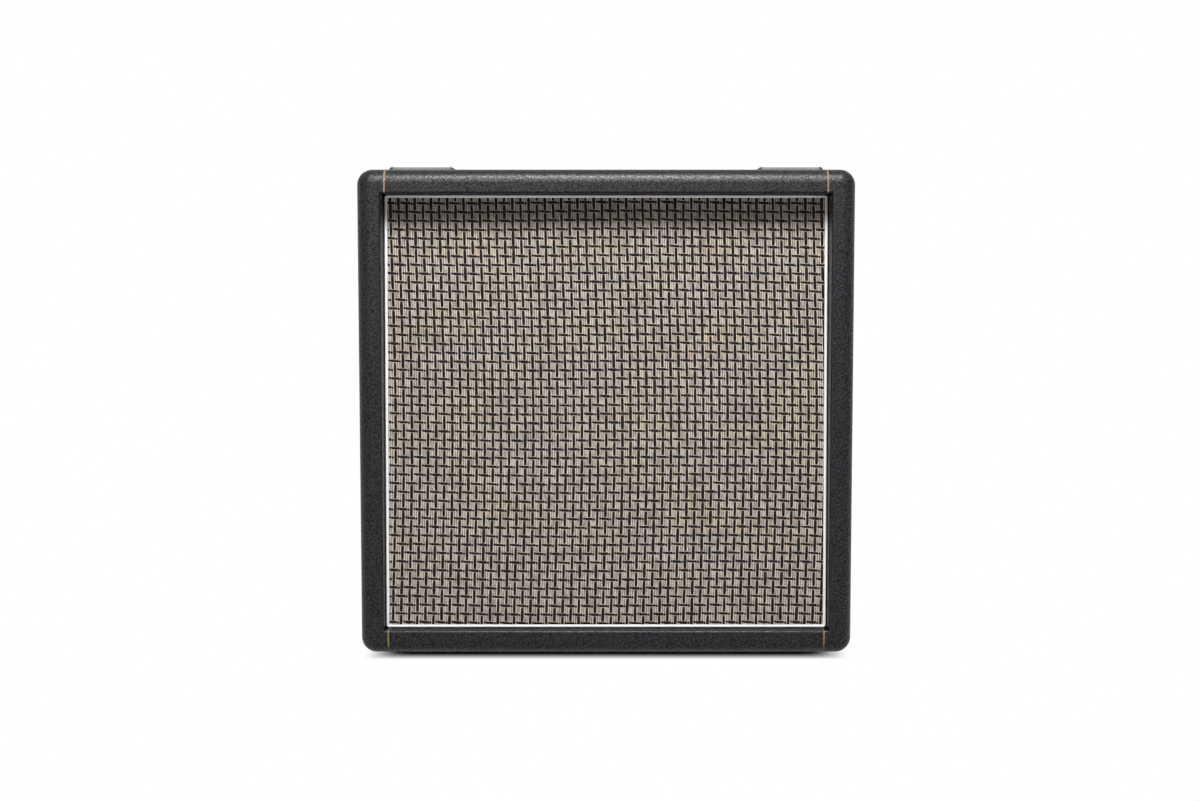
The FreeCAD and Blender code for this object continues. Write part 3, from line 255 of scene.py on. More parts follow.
def quarter_turn(aside, up, radius, start):
    """Points of a quarter circle in a plane, by its centre, radius and first angle in degrees."""
    angles = [math.radians(start + 90 * i / TURN_STEPS) for i in range(TURN_STEPS + 1)]
    return [(aside + radius * math.cos(a), up + radius * math.sin(a)) for a in angles]


def string_line(stop_y):
    """Upper seam from the rebate to the piping, as (y, height over the middle)."""
    line = [(REBATE_Y, REBATE_Z), (REAR_Y, REBATE_Z)]
    line += quarter_turn(REAR_Y - REAR_BEND, TOP_Z - REAR_BEND, REAR_BEND, 0)
    line += quarter_turn(FRONT_Y + FRONT_BEND, TOP_Z - FRONT_BEND, FRONT_BEND, 90)
    line += quarter_turn(FRONT_Y + LIP_BEND, LIP_Z + LIP_BEND, LIP_BEND, 180)
    return line + [(stop_y, LIP_Z)]


def surfaced(tree, shape, material):
    """Shape as one smooth mesh with its material."""
    shape = add(tree, "GeometryNodeSetShadeSmooth", {"Geometry": shape}).outputs[0]
    shape = add(tree, "GeometryNodeRealizeInstances", {"Geometry": shape}).outputs[0]
    return add(tree, "GeometryNodeSetMaterial", {"Geometry": shape, "Material": material}).outputs[0]


def grown(name, source, tree, sizes):
    """Runs a geometry tree with its named sizes on a mesh, and gives the result as a plain mesh piece."""
    piece = bpy.data.objects.new(name, source)
    bpy.context.scene.collection.objects.link(piece)
    modifier = piece.modifiers.new(name, "NODES")
    modifier.node_group = tree
    for item in tree.interface.items_tree:
        if item.in_out == "INPUT" and item.socket_type != "NodeSocketGeometry":
            modifier[item.identifier] = sizes[item.name]
    evaluated = piece.evaluated_get(bpy.context.evaluated_depsgraph_get())
    mesh = bpy.data.meshes.new_from_object(evaluated)
    piece.modifiers.clear()
    piece.data = mesh
    return piece


gold, tree, shader, place = new_finish("gold_yarn", Metallic=0.3, Roughness=0.5, Specular_IOR_Level=0.2)
fibre = noise(tree, place, FIBRE_SCALE, detail=3.0)["Fac"]
# Painted shade: the grooves between the strands are painted darker, towards the shade colour; the fibre noise
# adds a random tone.
groove = add(tree, "ShaderNodeAttribute", attribute_name="groove").outputs["Fac"]
fibre_light = ranged(tree, fibre, start=0.25, end=0.6, to_start=0.55, to_end=1.0)
bright = math_node(tree, "MULTIPLY", fibre_light, groove)
tree.links.new(mixed(tree, bright, STRING_SHADE, STRING_GOLD), shader.inputs["Base Color"])
raise_bump(tree, shader, fibre, strength=0.4, depth=0.0002)

laid_string, string_in, string_out = new_group(
    "laid_string", "GeometryNodeTree",
    {"Line": "Geometry", "Radius": "Float", "Lay": "Float", "Step": "Float", "Strands": "Int",
     "Groove": "Float", "Material": "Material"},
    {"String": "Geometry"},
)
string_sum = partial(math_node, laid_string)
path = add(laid_string, "GeometryNodeMeshToCurve", {"Mesh": string_in["Line"]}).outputs[0]
path = add(laid_string, "GeometryNodeResampleCurve", {
    "Curve": path, "Length": string_in["Step"],
}, mode="LENGTH").outputs[0]
run = add(laid_string, "GeometryNodeSplineParameter").outputs["Length"]
turn = string_sum("DIVIDE", string_sum("MULTIPLY", run, math.tau), string_in["Lay"])
path = add(laid_string, "GeometryNodeSetCurveTilt", {"Curve": path, "Tilt": turn}).outputs[0]
points = string_sum("MULTIPLY", string_in["Strands"], POINTS_PER_STRAND)
outline = add(laid_string, "GeometryNodeCurvePrimitiveCircle", {
    "Resolution": points, "Radius": string_in["Radius"],
}).outputs[0]
order = add(laid_string, "GeometryNodeInputIndex").outputs[0]
lobe = string_sum("COSINE", string_sum("MULTIPLY", order, math.tau / POINTS_PER_STRAND))
ungrooved = string_sum("SUBTRACT", 1.0, string_in["Groove"])
drawn_in = string_sum("MULTIPLY_ADD", lobe, string_in["Groove"], ungrooved)
at = add(laid_string, "GeometryNodeInputPosition").outputs[0]
lobed = vector_node(laid_string, "SCALE", at, scale=drawn_in)
# Each outline point stores how far down a groove it lies, for the shade painted between the strands.
outline = add(laid_string, "GeometryNodeStoreNamedAttribute", {
    "Geometry": outline, "Name": "groove",
    "Value": ranged(laid_string, lobe, start=-1.0, end=0.4, to_start=0.25, to_end=1.0),
}, data_type="FLOAT", domain="POINT").outputs[0]
outline = add(laid_string, "GeometryNodeSetPosition", {"Geometry": outline, "Position": lobed}).outputs[0]
strands = add(laid_string, "GeometryNodeCurveToMesh", {
    "Curve": path, "Profile Curve": outline, "Fill Caps": True,
}).outputs[0]
laid_string.links.new(surfaced(laid_string, strands, string_in["Material"]), string_out["String"])

corners = []
runs = []
for side in (-1, 1):
    for up, stop in STRING_STOPS.items():
        line = string_line(stop)
        first = len(corners)
        corners += [(side * STRING_X, y, MID_Z + up * z) for y, z in line]
        runs += [(first + i, first + i + 1) for i in range(len(line) - 1)]
seam_lines = bpy.data.meshes.new("seam_lines")
seam_lines.from_pydata(corners, runs, [])
gold_strings = grown("gold_seam_strings", seam_lines, laid_string, {
    "Radius": STRING_R, "Lay": STRING_LAY, "Step": STRING_STEP, "Strands": STRING_STRANDS,
    "Groove": STRING_GROOVE, "Material": gold,
})
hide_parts("seam_strings")
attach(gold_strings, "cabinet")


# Drivers: four paper cones in pressed steel baskets, each bolted to the baffle on a cork gasket.
# A ferrite magnet lies between two plates, under a moulded cover; surround and spider are doped cloth.
# These two are pleated rings, held at the basket, built at rest; their shares of the cone's travel are worked
# out but not used.
BAFFLE_PLACE = (0.0, -0.1462, MID_Z)
BAFFLE_TURN = (math.radians(90) - BAFFLE_LEAN, 0.0, 0.0)
DRIVER_X = 0.1645
DRIVER_Z = 0.16047
DRIVERS = {
    "upper_left": (-DRIVER_X, DRIVER_Z), "upper_right": (DRIVER_X, DRIVER_Z),
    "lower_left": (-DRIVER_X, -DRIVER_Z), "lower_right": (DRIVER_X, -DRIVER_Z),
}
RING_STEPS = 72
PLEAT_STEPS = 8
SURROUND_T = 0.0006
SURROUND_LAP = 0.12462
SURROUND_LAP_OUT = -0.0255
SURROUND_IN = 0.12693
SURROUND_ROLL = 0.13616
SURROUND_ROLL_OUT = -0.0214
SURROUND_WAVE = 0.0016
SURROUND_WAVES = 2
SURROUND_HELD = 0.13847
SURROUND_RIM = 0.14542
SURROUND_RIM_OUT = -0.0224
SPIDER_T = 0.0005
SPIDER_IN = 0.0225
SPIDER_OUT = -0.0868
SPIDER_WAVE = -0.0007
SPIDER_WAVES = 4.5
SPIDER_HELD = 0.0550
SPIDER_RIM = 0.0624
SPIDER_RIM_OUT = -0.0875
SMUDGE_SCALE = 14.0
SMUDGE_SHARE = 0.5
MOTTLE_START = 0.35
MOTTLE_END = 0.65

mottle, mottle_in, mottle_out = new_group(
    "fine_mottle", "ShaderNodeTree",
    {"Vector": "Vector", "Scale": "Float", "Dark": "Color", "Light": "Color", "Satin": "Float",
     "Dull": "Float"},
    {"Colour": "Color", "Roughness": "Float", "Height": "Float"},
)
speck = noise(mottle, mottle_in["Vector"], mottle_in["Scale"], detail=4.0, roughness=0.6)["Fac"]
smudge = noise(mottle, mottle_in["Vector"], SMUDGE_SCALE, detail=3.0)["Fac"]
speck_part = math_node(mottle, "MULTIPLY", speck, 1 - SMUDGE_SHARE)
shade = math_node(mottle, "MULTIPLY_ADD", smudge, SMUDGE_SHARE, speck_part)
lightness = ranged(mottle, shade, MOTTLE_START, MOTTLE_END)
dullness = ranged(mottle, shade, MOTTLE_START, MOTTLE_END, mottle_in["Satin"], mottle_in["Dull"])
mottle.links.new(mixed(mottle, lightness, mottle_in["Dark"], mottle_in["Light"]), mottle_out["Colour"])
mottle.links.new(dullness, mottle_out["Roughness"])
mottle.links.new(speck, mottle_out["Height"])


def mottled_finish(name, dark, light, satin, dull, scale, strength, depth=0.0002, **sockets):
    """Finish with a fine speckle between two colours and two roughnesses, and in its surface."""
    material, tree, shader, place = new_finish(name, **sockets)
    inputs = {"Vector": place, "Scale": scale, "Dark": dark, "Light": light, "Satin": satin, "Dull": dull}
    fleck = add(tree, "ShaderNodeGroup", inputs, node_tree=mottle).outputs
    tree.links.new(fleck["Colour"], shader.inputs["Base Color"])
    tree.links.new(fleck["Roughness"], shader.inputs["Roughness"])
    raise_bump(tree, shader, fleck["Height"], strength, depth)
    return material


lean_out = Euler(BAFFLE_TURN).to_matrix()


def on_baffle(x, up, out):
    """Point in the part's frame from its place on the leaning baffle."""
    return lean_out @ Vector((x, up, out)) + Vector(BAFFLE_PLACE)


def pleats(inner, outer, level, height, waves):
    """Front of a pleated ring from its inner to its outer edge, as (radius, out from the baffle)."""
    steps = int(waves * PLEAT_STEPS)
    front = []
    for i in range(steps + 1):
        turn = math.tau * waves * i / steps
        front.append((inner + (outer - inner) * i / steps, level - height * math.cos(turn)))
    return front


def turned_ring(front, thick, held, free):
    """Points and faces of a ring with this front, and each point's share of the cone's travel.

    The share is 0 from the held radius outwards and 1 from the free radius inwards."""
    section = front + [(r, out - thick) for r, out in reversed(front)]
    around = [math.tau * k / RING_STEPS for k in range(RING_STEPS)]
    points = [(r * math.cos(a), r * math.sin(a), out) for a in around for r, out in section]
    size = len(section)
    faces = []
    for k in range(RING_STEPS):
        here = k * size
        there = (k + 1) % RING_STEPS * size
        faces += [(here + i, here + (i + 1) % size, there + (i + 1) % size, there + i) for i in range(size)]
    slack = [min(max((held - r) / (held - free), 0.0), 1.0) for r, out in section]
    return points, faces, [s * s * (3 - 2 * s) for s in slack] * RING_STEPS


surround_line = [(SURROUND_LAP, SURROUND_LAP_OUT)]
surround_line += pleats(SURROUND_IN, SURROUND_ROLL, SURROUND_ROLL_OUT, SURROUND_WAVE, SURROUND_WAVES)
surround_line += [(SURROUND_HELD, SURROUND_RIM_OUT), (SURROUND_RIM, SURROUND_RIM_OUT)]
spider_line = pleats(SPIDER_IN, SPIDER_HELD, SPIDER_OUT, SPIDER_WAVE, SPIDER_WAVES)
spider_line += [(SPIDER_RIM, SPIDER_RIM_OUT)]
roll_points, roll_faces, roll_shares = turned_ring(surround_line, SURROUND_T, SURROUND_HELD, SURROUND_IN)
spider_points, spider_faces, spider_shares = turned_ring(spider_line, SPIDER_T, SPIDER_HELD, SPIDER_IN)
spider_faces = [tuple(corner + len(roll_points) for corner in face) for face in spider_faces]
cone_paper = mottled_finish(
    "pressed_paper", dark=(0.016, 0.016, 0.017, 1), light=(0.045, 0.043, 0.042, 1), satin=0.7, dull=0.9,
    scale=900.0, strength=0.5, depth=0.0003,
)
doped_cloth = mottled_finish(
    "doped_cloth", dark=(0.09, 0.05, 0.02, 1), light=(0.20, 0.12, 0.05, 1), satin=0.5, dull=0.75,
    scale=1400.0, strength=0.6, depth=0.0003,
)
basket_paint = mottled_finish(
    "basket_paint", dark=(0.05, 0.053, 0.058, 1), light=(0.085, 0.09, 0.095, 1), satin=0.35, dull=0.5,
    scale=500.0, strength=0.2,
)
copper_wire = mottled_finish(
    "copper_wire", dark=(0.45, 0.19, 0.09, 1), light=(0.62, 0.29, 0.14, 1), satin=0.3, dull=0.45,
    scale=700.0, strength=0.3, Metallic=0.9,
)
cork = mottled_finish(
    "cork_board", dark=(0.12, 0.07, 0.035, 1), light=(0.34, 0.22, 0.12, 1), satin=0.8, dull=0.95,
    scale=420.0, strength=0.6, depth=0.0005,
)
ferrite = mottled_finish(
    "sintered_ferrite", dark=(0.018, 0.018, 0.019, 1), light=(0.04, 0.04, 0.042, 1), satin=0.5, dull=0.7,
    scale=650.0, strength=0.4, depth=0.0003,
)
moulded_cap = mottled_finish(
    "moulded_cap", dark=(0.008, 0.008, 0.009, 1), light=(0.016, 0.016, 0.017, 1), satin=0.35, dull=0.5,
    scale=1100.0, strength=0.3,
)
plated_steel = mottled_finish(
    "zinc_plate", dark=(0.42, 0.42, 0.41, 1), light=(0.62, 0.62, 0.60, 1), satin=0.25, dull=0.42,
    scale=380.0, strength=0.2, Metallic=1.0,
)
black_lead = mottled_finish(
    "lead_sheath", dark=(0.010, 0.010, 0.011, 1), light=(0.018, 0.018, 0.019, 1), satin=0.28, dull=0.4,
    scale=300.0, strength=0.15,
)
for where, (x, z) in DRIVERS.items():
    coat(cone_paper, where + "_cone")
    coat(basket_paint, where + "_basket")
    coat(copper_wire, where + "_voice_coil")
    flexing = bpy.data.meshes.new(where + "_surround_and_spider")
    flexing.from_pydata(
        [on_baffle(x + across, z + up, out) for across, up, out in roll_points + spider_points], [],
        roll_faces + spider_faces,
    )
    outward = bmesh.new()
    outward.from_mesh(flexing)
    bmesh.ops.recalc_face_normals(outward, faces=outward.faces)
    outward.to_mesh(flexing)
    outward.free()
    flexing.shade_smooth()
    flexing.materials.append(doped_cloth)
    bellows = bpy.data.objects.new(flexing.name, flexing)
    bpy.context.scene.collection.objects.link(bellows)
    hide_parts(where + "_suspension")
    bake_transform(bellows)
coat(cork, "driver_gaskets")
coat(ferrite, "driver_magnets")
coat(moulded_cap, "driver_magnet_covers")
coat(plated_steel, "driver_top_plates", "driver_yokes", "driver_bolts", "driver_t_nuts", "baffle_screws")
coat(black_lead, "speaker_leads")


# Grille cloth: beige basket weave with a woven check of black yarn, stretched over the leaning baffle.
# Cotton and paper yarn; the black yarn floats over the ground, upright and level in turn at each crossing.
# It is drawn over the edges of the baffle and stapled there, so it lies flat and tight.
CLOTH_X = 0.3468
CLOTH_Z = 0.33888
CLOTH_FRONT = 0.0008
CLOTH_SKIRT = 0.017
CLOTH_FOLD = 0.002
CLOTH_ROWS = 12
COLUMN_PITCH = 0.01273
ROW_PITCH = 0.01377
COLUMN_START = -0.0037
ROW_START = -0.0024
COLUMNS = 55
ROWS = 51
RIBS_PER_COLUMN = 4
WEFTS_PER_ROW = 4
RIB_HEIGHT = 0.00012
STEPS_PER_RIB = 4
WELD = 0.00001
WAVER_X = {"size": 0.0039, "over_x": 0.2, "over_z": 6.8, "start": 1.79}
WAVER_Z = {"size": 0.0012, "over_x": 11.0, "over_z": 3.0, "start": 0.0}
GROUND_LIGHT = (0.57, 0.49, 0.415, 1)
GROUND_MID = (0.35, 0.29, 0.242, 1)
# Painted shade: the dark colour painted in the valleys between the yarns.
GROUND_GAP_SHADE = (0.035, 0.025, 0.018, 1)
STREAK_SCALE = 430.0
STREAK_SQUEEZE = (1.0, 1.0, 0.16)
PATCH_SCALE = 95.0
DOT_SHARE = 0.4
CROSSING_RISE = 0.35
RIB_RISE = 0.4
YARN_BLACK = (0.007, 0.0065, 0.008, 1)
YARN_GREY = (0.022, 0.021, 0.022, 1)
FUZZ_SCALE = 1100.0
FLOAT_REACH = (0.3421, 0.3356)
FLOAT_COLUMNS = 4
FLOAT_ROWS = 6
TAPER_POWER = 4.0
DIVE_POWER = 6.0
LEAST_FLOAT = (0.90, 0.98, 0.9)
MOST_FLOAT = (1.12, 1.02, 1.1)

rib = COLUMN_PITCH / RIBS_PER_COLUMN
weft = ROW_PITCH / WEFTS_PER_ROW
rib_steps = 2 * math.ceil(CLOTH_X / rib * STEPS_PER_RIB)


def waver(tree, across, up, size, over_x, over_z, start):
    """Small drift of the yarns from their straight lines, as a slow wave over the cloth."""
    phase = math_node(tree, "MULTIPLY_ADD", up, over_z, start)
    phase = math_node(tree, "MULTIPLY_ADD", across, over_x, phase)
    return math_node(tree, "MULTIPLY", math_node(tree, "SINE", phase), size)


across = [CLOTH_X * (2 * i / rib_steps - 1) for i in range(rib_steps + 1)]
unbent_z = CLOTH_Z - CLOTH_FOLD
upward = [unbent_z * (2 * j / CLOTH_ROWS - 1) for j in range(CLOTH_ROWS + 1)]
sheet_columns = [-CLOTH_X] + across + [CLOTH_X]
sheet_rows = [-CLOTH_Z] * 2 + upward + [CLOTH_Z] * 2
row_length = len(sheet_columns)
last_row = len(sheet_rows) - 1
sheet_points = []
for j, z in enumerate(sheet_rows):
    for i, x in enumerate(sheet_columns):
        crest = 0.5 + 0.5 * math.cos(math.tau * (x - COLUMN_START) / rib)
        out = CLOTH_FRONT + RIB_HEIGHT * (crest - 1)
        if j in (0, last_row) or i in (0, row_length - 1):
            out = -CLOTH_SKIRT
        sheet_points.append(on_baffle(x, z, out))
sheet_faces = []
for j in range(last_row):
    for i in range(row_length - 1):
        corner = j * row_length + i
        sheet_faces.append((corner, corner + 1, corner + row_length + 1, corner + row_length))
ground_mesh = bpy.data.meshes.new("check_cloth")
ground_mesh.from_pydata(sheet_points, [], sheet_faces)
corners_joined = bmesh.new()
corners_joined.from_mesh(ground_mesh)
bmesh.ops.remove_doubles(corners_joined, verts=corners_joined.verts, dist=WELD)
corners_joined.to_mesh(ground_mesh)
corners_joined.free()
ground_mesh.shade_smooth()
check_cloth = bpy.data.objects.new("check_cloth", ground_mesh)
bpy.context.scene.collection.objects.link(check_cloth)

ground, tree, shader, place = new_finish(
    "basket_weave", Roughness=0.85, Sheen_Weight=0.15, Specular_IOR_Level=0.25,
)
weave_sum = partial(math_node, tree)
split = add(tree, "ShaderNodeSeparateXYZ", {0: place}).outputs
up = weave_sum("SUBTRACT", split["Z"], MID_Z)
straight_x = weave_sum("SUBTRACT", split["X"], waver(tree, split["X"], up, **WAVER_X))
straight_z = weave_sum("SUBTRACT", up, waver(tree, split["X"], up, **WAVER_Z))
rib_turn = weave_sum("MULTIPLY", weave_sum("SUBTRACT", straight_x, COLUMN_START), math.tau / rib)
weft_turn = weave_sum("MULTIPLY", weave_sum("SUBTRACT", straight_z, ROW_START), math.tau / weft)
rib_wave = weave_sum("COSINE", rib_turn)
weft_wave = weave_sum("COSINE", weft_turn)
column_wave = weave_sum("COSINE", weave_sum("DIVIDE", rib_turn, RIBS_PER_COLUMN))
row_wave = weave_sum("COSINE", weave_sum("DIVIDE", weft_turn, WEFTS_PER_ROW))
over_rib = weave_sum("COSINE", weave_sum("MULTIPLY", rib_turn, 0.5))
over_weft = weave_sum("COSINE", weave_sum("MULTIPLY", weft_turn, 0.5))
over = weave_sum("MULTIPLY", over_rib, over_weft)
long_way = add(tree, "ShaderNodeMapping", {"Vector": place, "Scale": STREAK_SQUEEZE}).outputs[0]
streak = noise(tree, long_way, STREAK_SCALE, detail=2.0)["Fac"]
patch = noise(tree, place, PATCH_SCALE, detail=2.0)["Fac"]
between_ribs = ranged(tree, rib_wave, start=0.4, end=-0.7)
between_columns = ranged(tree, column_wave, start=0.4, end=-0.2)
between_wefts = ranged(tree, weft_wave, start=0.1, end=-0.8)
between_rows = ranged(tree, row_wave, start=0.4, end=-0.2)
gap = weave_sum("MULTIPLY", between_ribs, between_columns)
dot = weave_sum("MULTIPLY", between_wefts, between_rows)
dot = weave_sum("MULTIPLY_ADD", dot, DOT_SHARE, 1 - DOT_SHARE)
patchy = ranged(tree, patch, start=0.3, end=0.6, to_start=0.6, to_end=1.0)
# Painted shade between the yarns: dark between ribs and columns and where weft valleys cross, patchy at
# random.
gap_shade = weave_sum("MULTIPLY", weave_sum("MULTIPLY", gap, dot), patchy)
yarn = mixed(tree, ranged(tree, streak, start=0.38, end=0.6), GROUND_MID, GROUND_LIGHT)
tree.links.new(mixed(tree, gap_shade, yarn, GROUND_GAP_SHADE), shader.inputs["Base Color"])
weave_height = weave_sum("MULTIPLY_ADD", over, CROSSING_RISE, weave_sum("MULTIPLY", rib_wave, RIB_RISE))
raise_bump(tree, shader, weave_height, strength=0.6, depth=0.0003)
check_cloth.data.materials.append(ground)

black_yarn, tree, shader, place = new_finish("black_yarn", Roughness=0.8, Specular_IOR_Level=0.12)
along = add(tree, "ShaderNodeAttribute", attribute_name="along").outputs["Fac"]
# Each float is greyer towards its middle, by its stored share, broken up by the fuzz.
worn = add(tree, "ShaderNodeAttribute", attribute_name="worn").outputs["Fac"]
fuzz = noise(tree, place, FUZZ_SCALE, detail=4.0)["Fac"]
mid_float = ranged(tree, math_node(tree, "ABSOLUTE", along), start=0.75, end=0.1)
middle = math_node(tree, "MULTIPLY", mid_float, worn)
grey = math_node(tree, "MULTIPLY", middle, ranged(tree, fuzz, start=0.3, end=0.65))
tree.links.new(mixed(tree, grey, YARN_BLACK, YARN_GREY), shader.inputs["Base Color"])
raise_bump(tree, shader, fuzz, strength=0.5, depth=0.0003)

floats, float_in, float_out = new_group(
    "yarn_floats", "GeometryNodeTree",
    {"Columns": "Int", "Rows": "Int", "Column pitch": "Float", "Row pitch": "Float", "Start": "Vector",
     "Odd": "Float", "Length": "Float", "Width": "Float", "Height": "Float", "Taper": "Float",
     "Turn": "Float", "Wander": "Float", "Worn": "Float", "Reach": "Vector", "Baffle turn": "Vector",
     "Baffle place": "Vector", "Seed": "Int", "Material": "Material"},
    {"Floats": "Geometry"},
)
float_sum = partial(math_node, floats)
wide = float_sum("MULTIPLY", float_sum("SUBTRACT", float_in["Columns"], 1.0), float_in["Column pitch"])
tall = float_sum("MULTIPLY", float_sum("SUBTRACT", float_in["Rows"], 1.0), float_in["Row pitch"])
crossings = add(floats, "GeometryNodeMeshGrid", {
    "Size X": wide, "Size Y": tall, "Vertices X": float_in["Columns"], "Vertices Y": float_in["Rows"],
}).outputs["Mesh"]
spot = add(floats, "GeometryNodeInputPosition").outputs[0]
here = add(floats, "ShaderNodeSeparateXYZ", {0: spot}).outputs
column = float_sum("ROUND", float_sum("DIVIDE", here["X"], float_in["Column pitch"]))
row = float_sum("ROUND", float_sum("DIVIDE", here["Y"], float_in["Row pitch"]))
number = float_sum("ADD", float_sum("ADD", column, row), float_in["Odd"])
chosen = float_sum("LESS_THAN", float_sum("FLOORED_MODULO", number, 2.0), 0.5)

blank = add(floats, "GeometryNodeMeshGrid", {
    "Size X": 2.0, "Size Y": 2.0, "Vertices X": FLOAT_COLUMNS, "Vertices Y": FLOAT_ROWS,
}).outputs["Mesh"]
for label, value in (("along", here["Y"]), ("worn", float_in["Worn"])):
    blank = add(floats, "GeometryNodeStoreNamedAttribute", {
        "Geometry": blank, "Name": label, "Value": value,
    }).outputs[0]
from_middle = float_sum("ABSOLUTE", here["Y"])
taper = float_sum("MULTIPLY", float_sum("POWER", from_middle, TAPER_POWER), float_in["Taper"])
narrow = float_sum("MULTIPLY", here["X"], float_sum("SUBTRACT", 1.0, taper))
side_place = float_sum("MULTIPLY", narrow, float_sum("MULTIPLY", float_in["Width"], 0.5))
end_place = float_sum("MULTIPLY", here["Y"], float_sum("MULTIPLY", float_in["Length"], 0.5))
round_top = float_sum("SQRT", float_sum("SUBTRACT", 1.0, float_sum("MULTIPLY", here["X"], here["X"])))
dive = float_sum("SUBTRACT", 1.0, float_sum("POWER", from_middle, DIVE_POWER))
crown = float_sum("MULTIPLY", float_sum("MULTIPLY", round_top, dive), float_in["Height"])
bowed = add(floats, "ShaderNodeCombineXYZ", {"X": side_place, "Y": end_place, "Z": crown}).outputs[0]
level = add(floats, "ShaderNodeCombineXYZ", {"X": side_place, "Y": end_place}).outputs[0]
upper = add(floats, "GeometryNodeSetPosition", {"Geometry": blank, "Position": bowed}).outputs[0]
under = add(floats, "GeometryNodeSetPosition", {"Geometry": blank, "Position": level}).outputs[0]
under = add(floats, "GeometryNodeFlipFaces", {"Mesh": under}).outputs[0]
upper = add(floats, "GeometryNodeTriangulate", {"Mesh": upper}, quad_method="FIXED").outputs[0]
under = add(floats, "GeometryNodeTriangulate", {"Mesh": under}, quad_method="FIXED_ALTERNATE").outputs[0]
halves = add(floats, "GeometryNodeJoinGeometry")
for half in (under, upper):
    floats.links.new(half, halves.inputs[0])
blank = add(floats, "GeometryNodeMergeByDistance", {
    "Geometry": halves.outputs[0], "Distance": WELD,
}).outputs[0]

stray = add(floats, "FunctionNodeRandomValue", {
    2: -1.0, 3: 1.0, "Seed": float_in["Seed"],
}, data_type="FLOAT").outputs[1]
spin = float_sum("MULTIPLY_ADD", stray, float_in["Wander"], float_in["Turn"])
spun = add(floats, "ShaderNodeCombineXYZ", {"Z": spin}).outputs[0]
more = add(floats, "FunctionNodeRandomValue", {
    0: LEAST_FLOAT, 1: MOST_FLOAT, "Seed": float_in["Seed"],
}, data_type="FLOAT_VECTOR").outputs[0]
woven = add(floats, "GeometryNodeInstanceOnPoints", {
    "Points": crossings, "Selection": chosen, "Instance": blank, "Rotation": spun, "Scale": more,
}).outputs[0]
woven = add(floats, "GeometryNodeRealizeInstances", {"Geometry": woven}).outputs[0]
woven = add(floats, "GeometryNodeTransform", {"Geometry": woven, "Translation": float_in["Start"]}).outputs[0]
drift = add(floats, "ShaderNodeCombineXYZ", {
    "X": waver(floats, here["X"], here["Y"], **WAVER_X), "Y": waver(floats, here["X"], here["Y"], **WAVER_Z),
}).outputs[0]
near = vector_node(floats, "MINIMUM", vector_node(floats, "ADD", spot, drift), float_in["Reach"])
near = vector_node(floats, "MAXIMUM", near, vector_node(floats, "SCALE", float_in["Reach"], scale=-1.0))
woven = add(floats, "GeometryNodeSetPosition", {"Geometry": woven, "Position": near}).outputs[0]
woven = add(floats, "GeometryNodeTransform", {
    "Geometry": woven, "Translation": float_in["Baffle place"], "Rotation": float_in["Baffle turn"],
}).outputs[0]
floats.links.new(surfaced(floats, woven, float_in["Material"]), float_out["Floats"])

float_sizes = {
    "Columns": COLUMNS, "Rows": ROWS, "Column pitch": COLUMN_PITCH, "Row pitch": ROW_PITCH,
    "Reach": FLOAT_REACH + (1.0,), "Baffle turn": BAFFLE_TURN, "Baffle place": BAFFLE_PLACE,
    "Material": black_yarn,
}


def woven_yarn(name, aside=0.0, up=0.0, **sizes):
    """Floats of one kind over the whole cloth, shifted from the crossings."""
    start = (COLUMN_START + aside, ROW_START + up, CLOTH_FRONT)
    return grown(name, bpy.data.meshes.new(name), floats, float_sizes | {"Start": start} | sizes)


upright_floats = woven_yarn(
    "upright_floats", Odd=1.0, Length=0.0223, Width=0.0044, Height=0.0007, Taper=0.2, Turn=0.0, Wander=0.02,
    Worn=0.25, Seed=3,
)
level_floats = woven_yarn(
    "level_floats", Odd=0.0, Length=0.0124, Width=0.0042, Height=0.0006, Taper=0.3, Turn=math.radians(88),
    Wander=0.05, Worn=0.8, Seed=7,
)
level_starts = woven_yarn(
    "level_starts", aside=-0.0079, up=0.0007, Odd=0.0, Length=0.0036, Width=0.0034, Height=0.0005, Taper=0.3,
    Turn=math.radians(85), Wander=0.2, Worn=0.6, Seed=11,
)
level_ends = woven_yarn(
    "level_ends", aside=0.0081, up=-0.0008, Odd=0.0, Length=0.0034, Width=0.0036, Height=0.0005, Taper=0.3,
    Turn=math.radians(85), Wander=0.2, Worn=0.3, Seed=19,
)
yarns = [upright_floats, level_floats, level_starts, level_ends]
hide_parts("grille_cloth")
for piece in [check_cloth] + yarns:
    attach(piece, "cabinet")


# Piping: a white bead with its flange, round the edge of the grille.
# Extruded soft vinyl over a cord, smooth and slightly glossy, with a little unevenness from the stapling.
# The bead stands on the cloth; its flange lies under the cloth and is stapled round the edge of the baffle.
BEAD_X = 0.3442
BEAD_Z = 0.3378
BEAD_WIDE = 0.0046
BEAD_DEEP = 0.0042
BEAD_SQUARE = 2.3
BEAD_POINTS = 20
BEAD_CORNER_R = 0.002
BEAD_OUT = 0.0029
FLANGE_T = 0.0006
FLANGE_DEEP = 0.0126
FLANGE_REACH = 0.0024

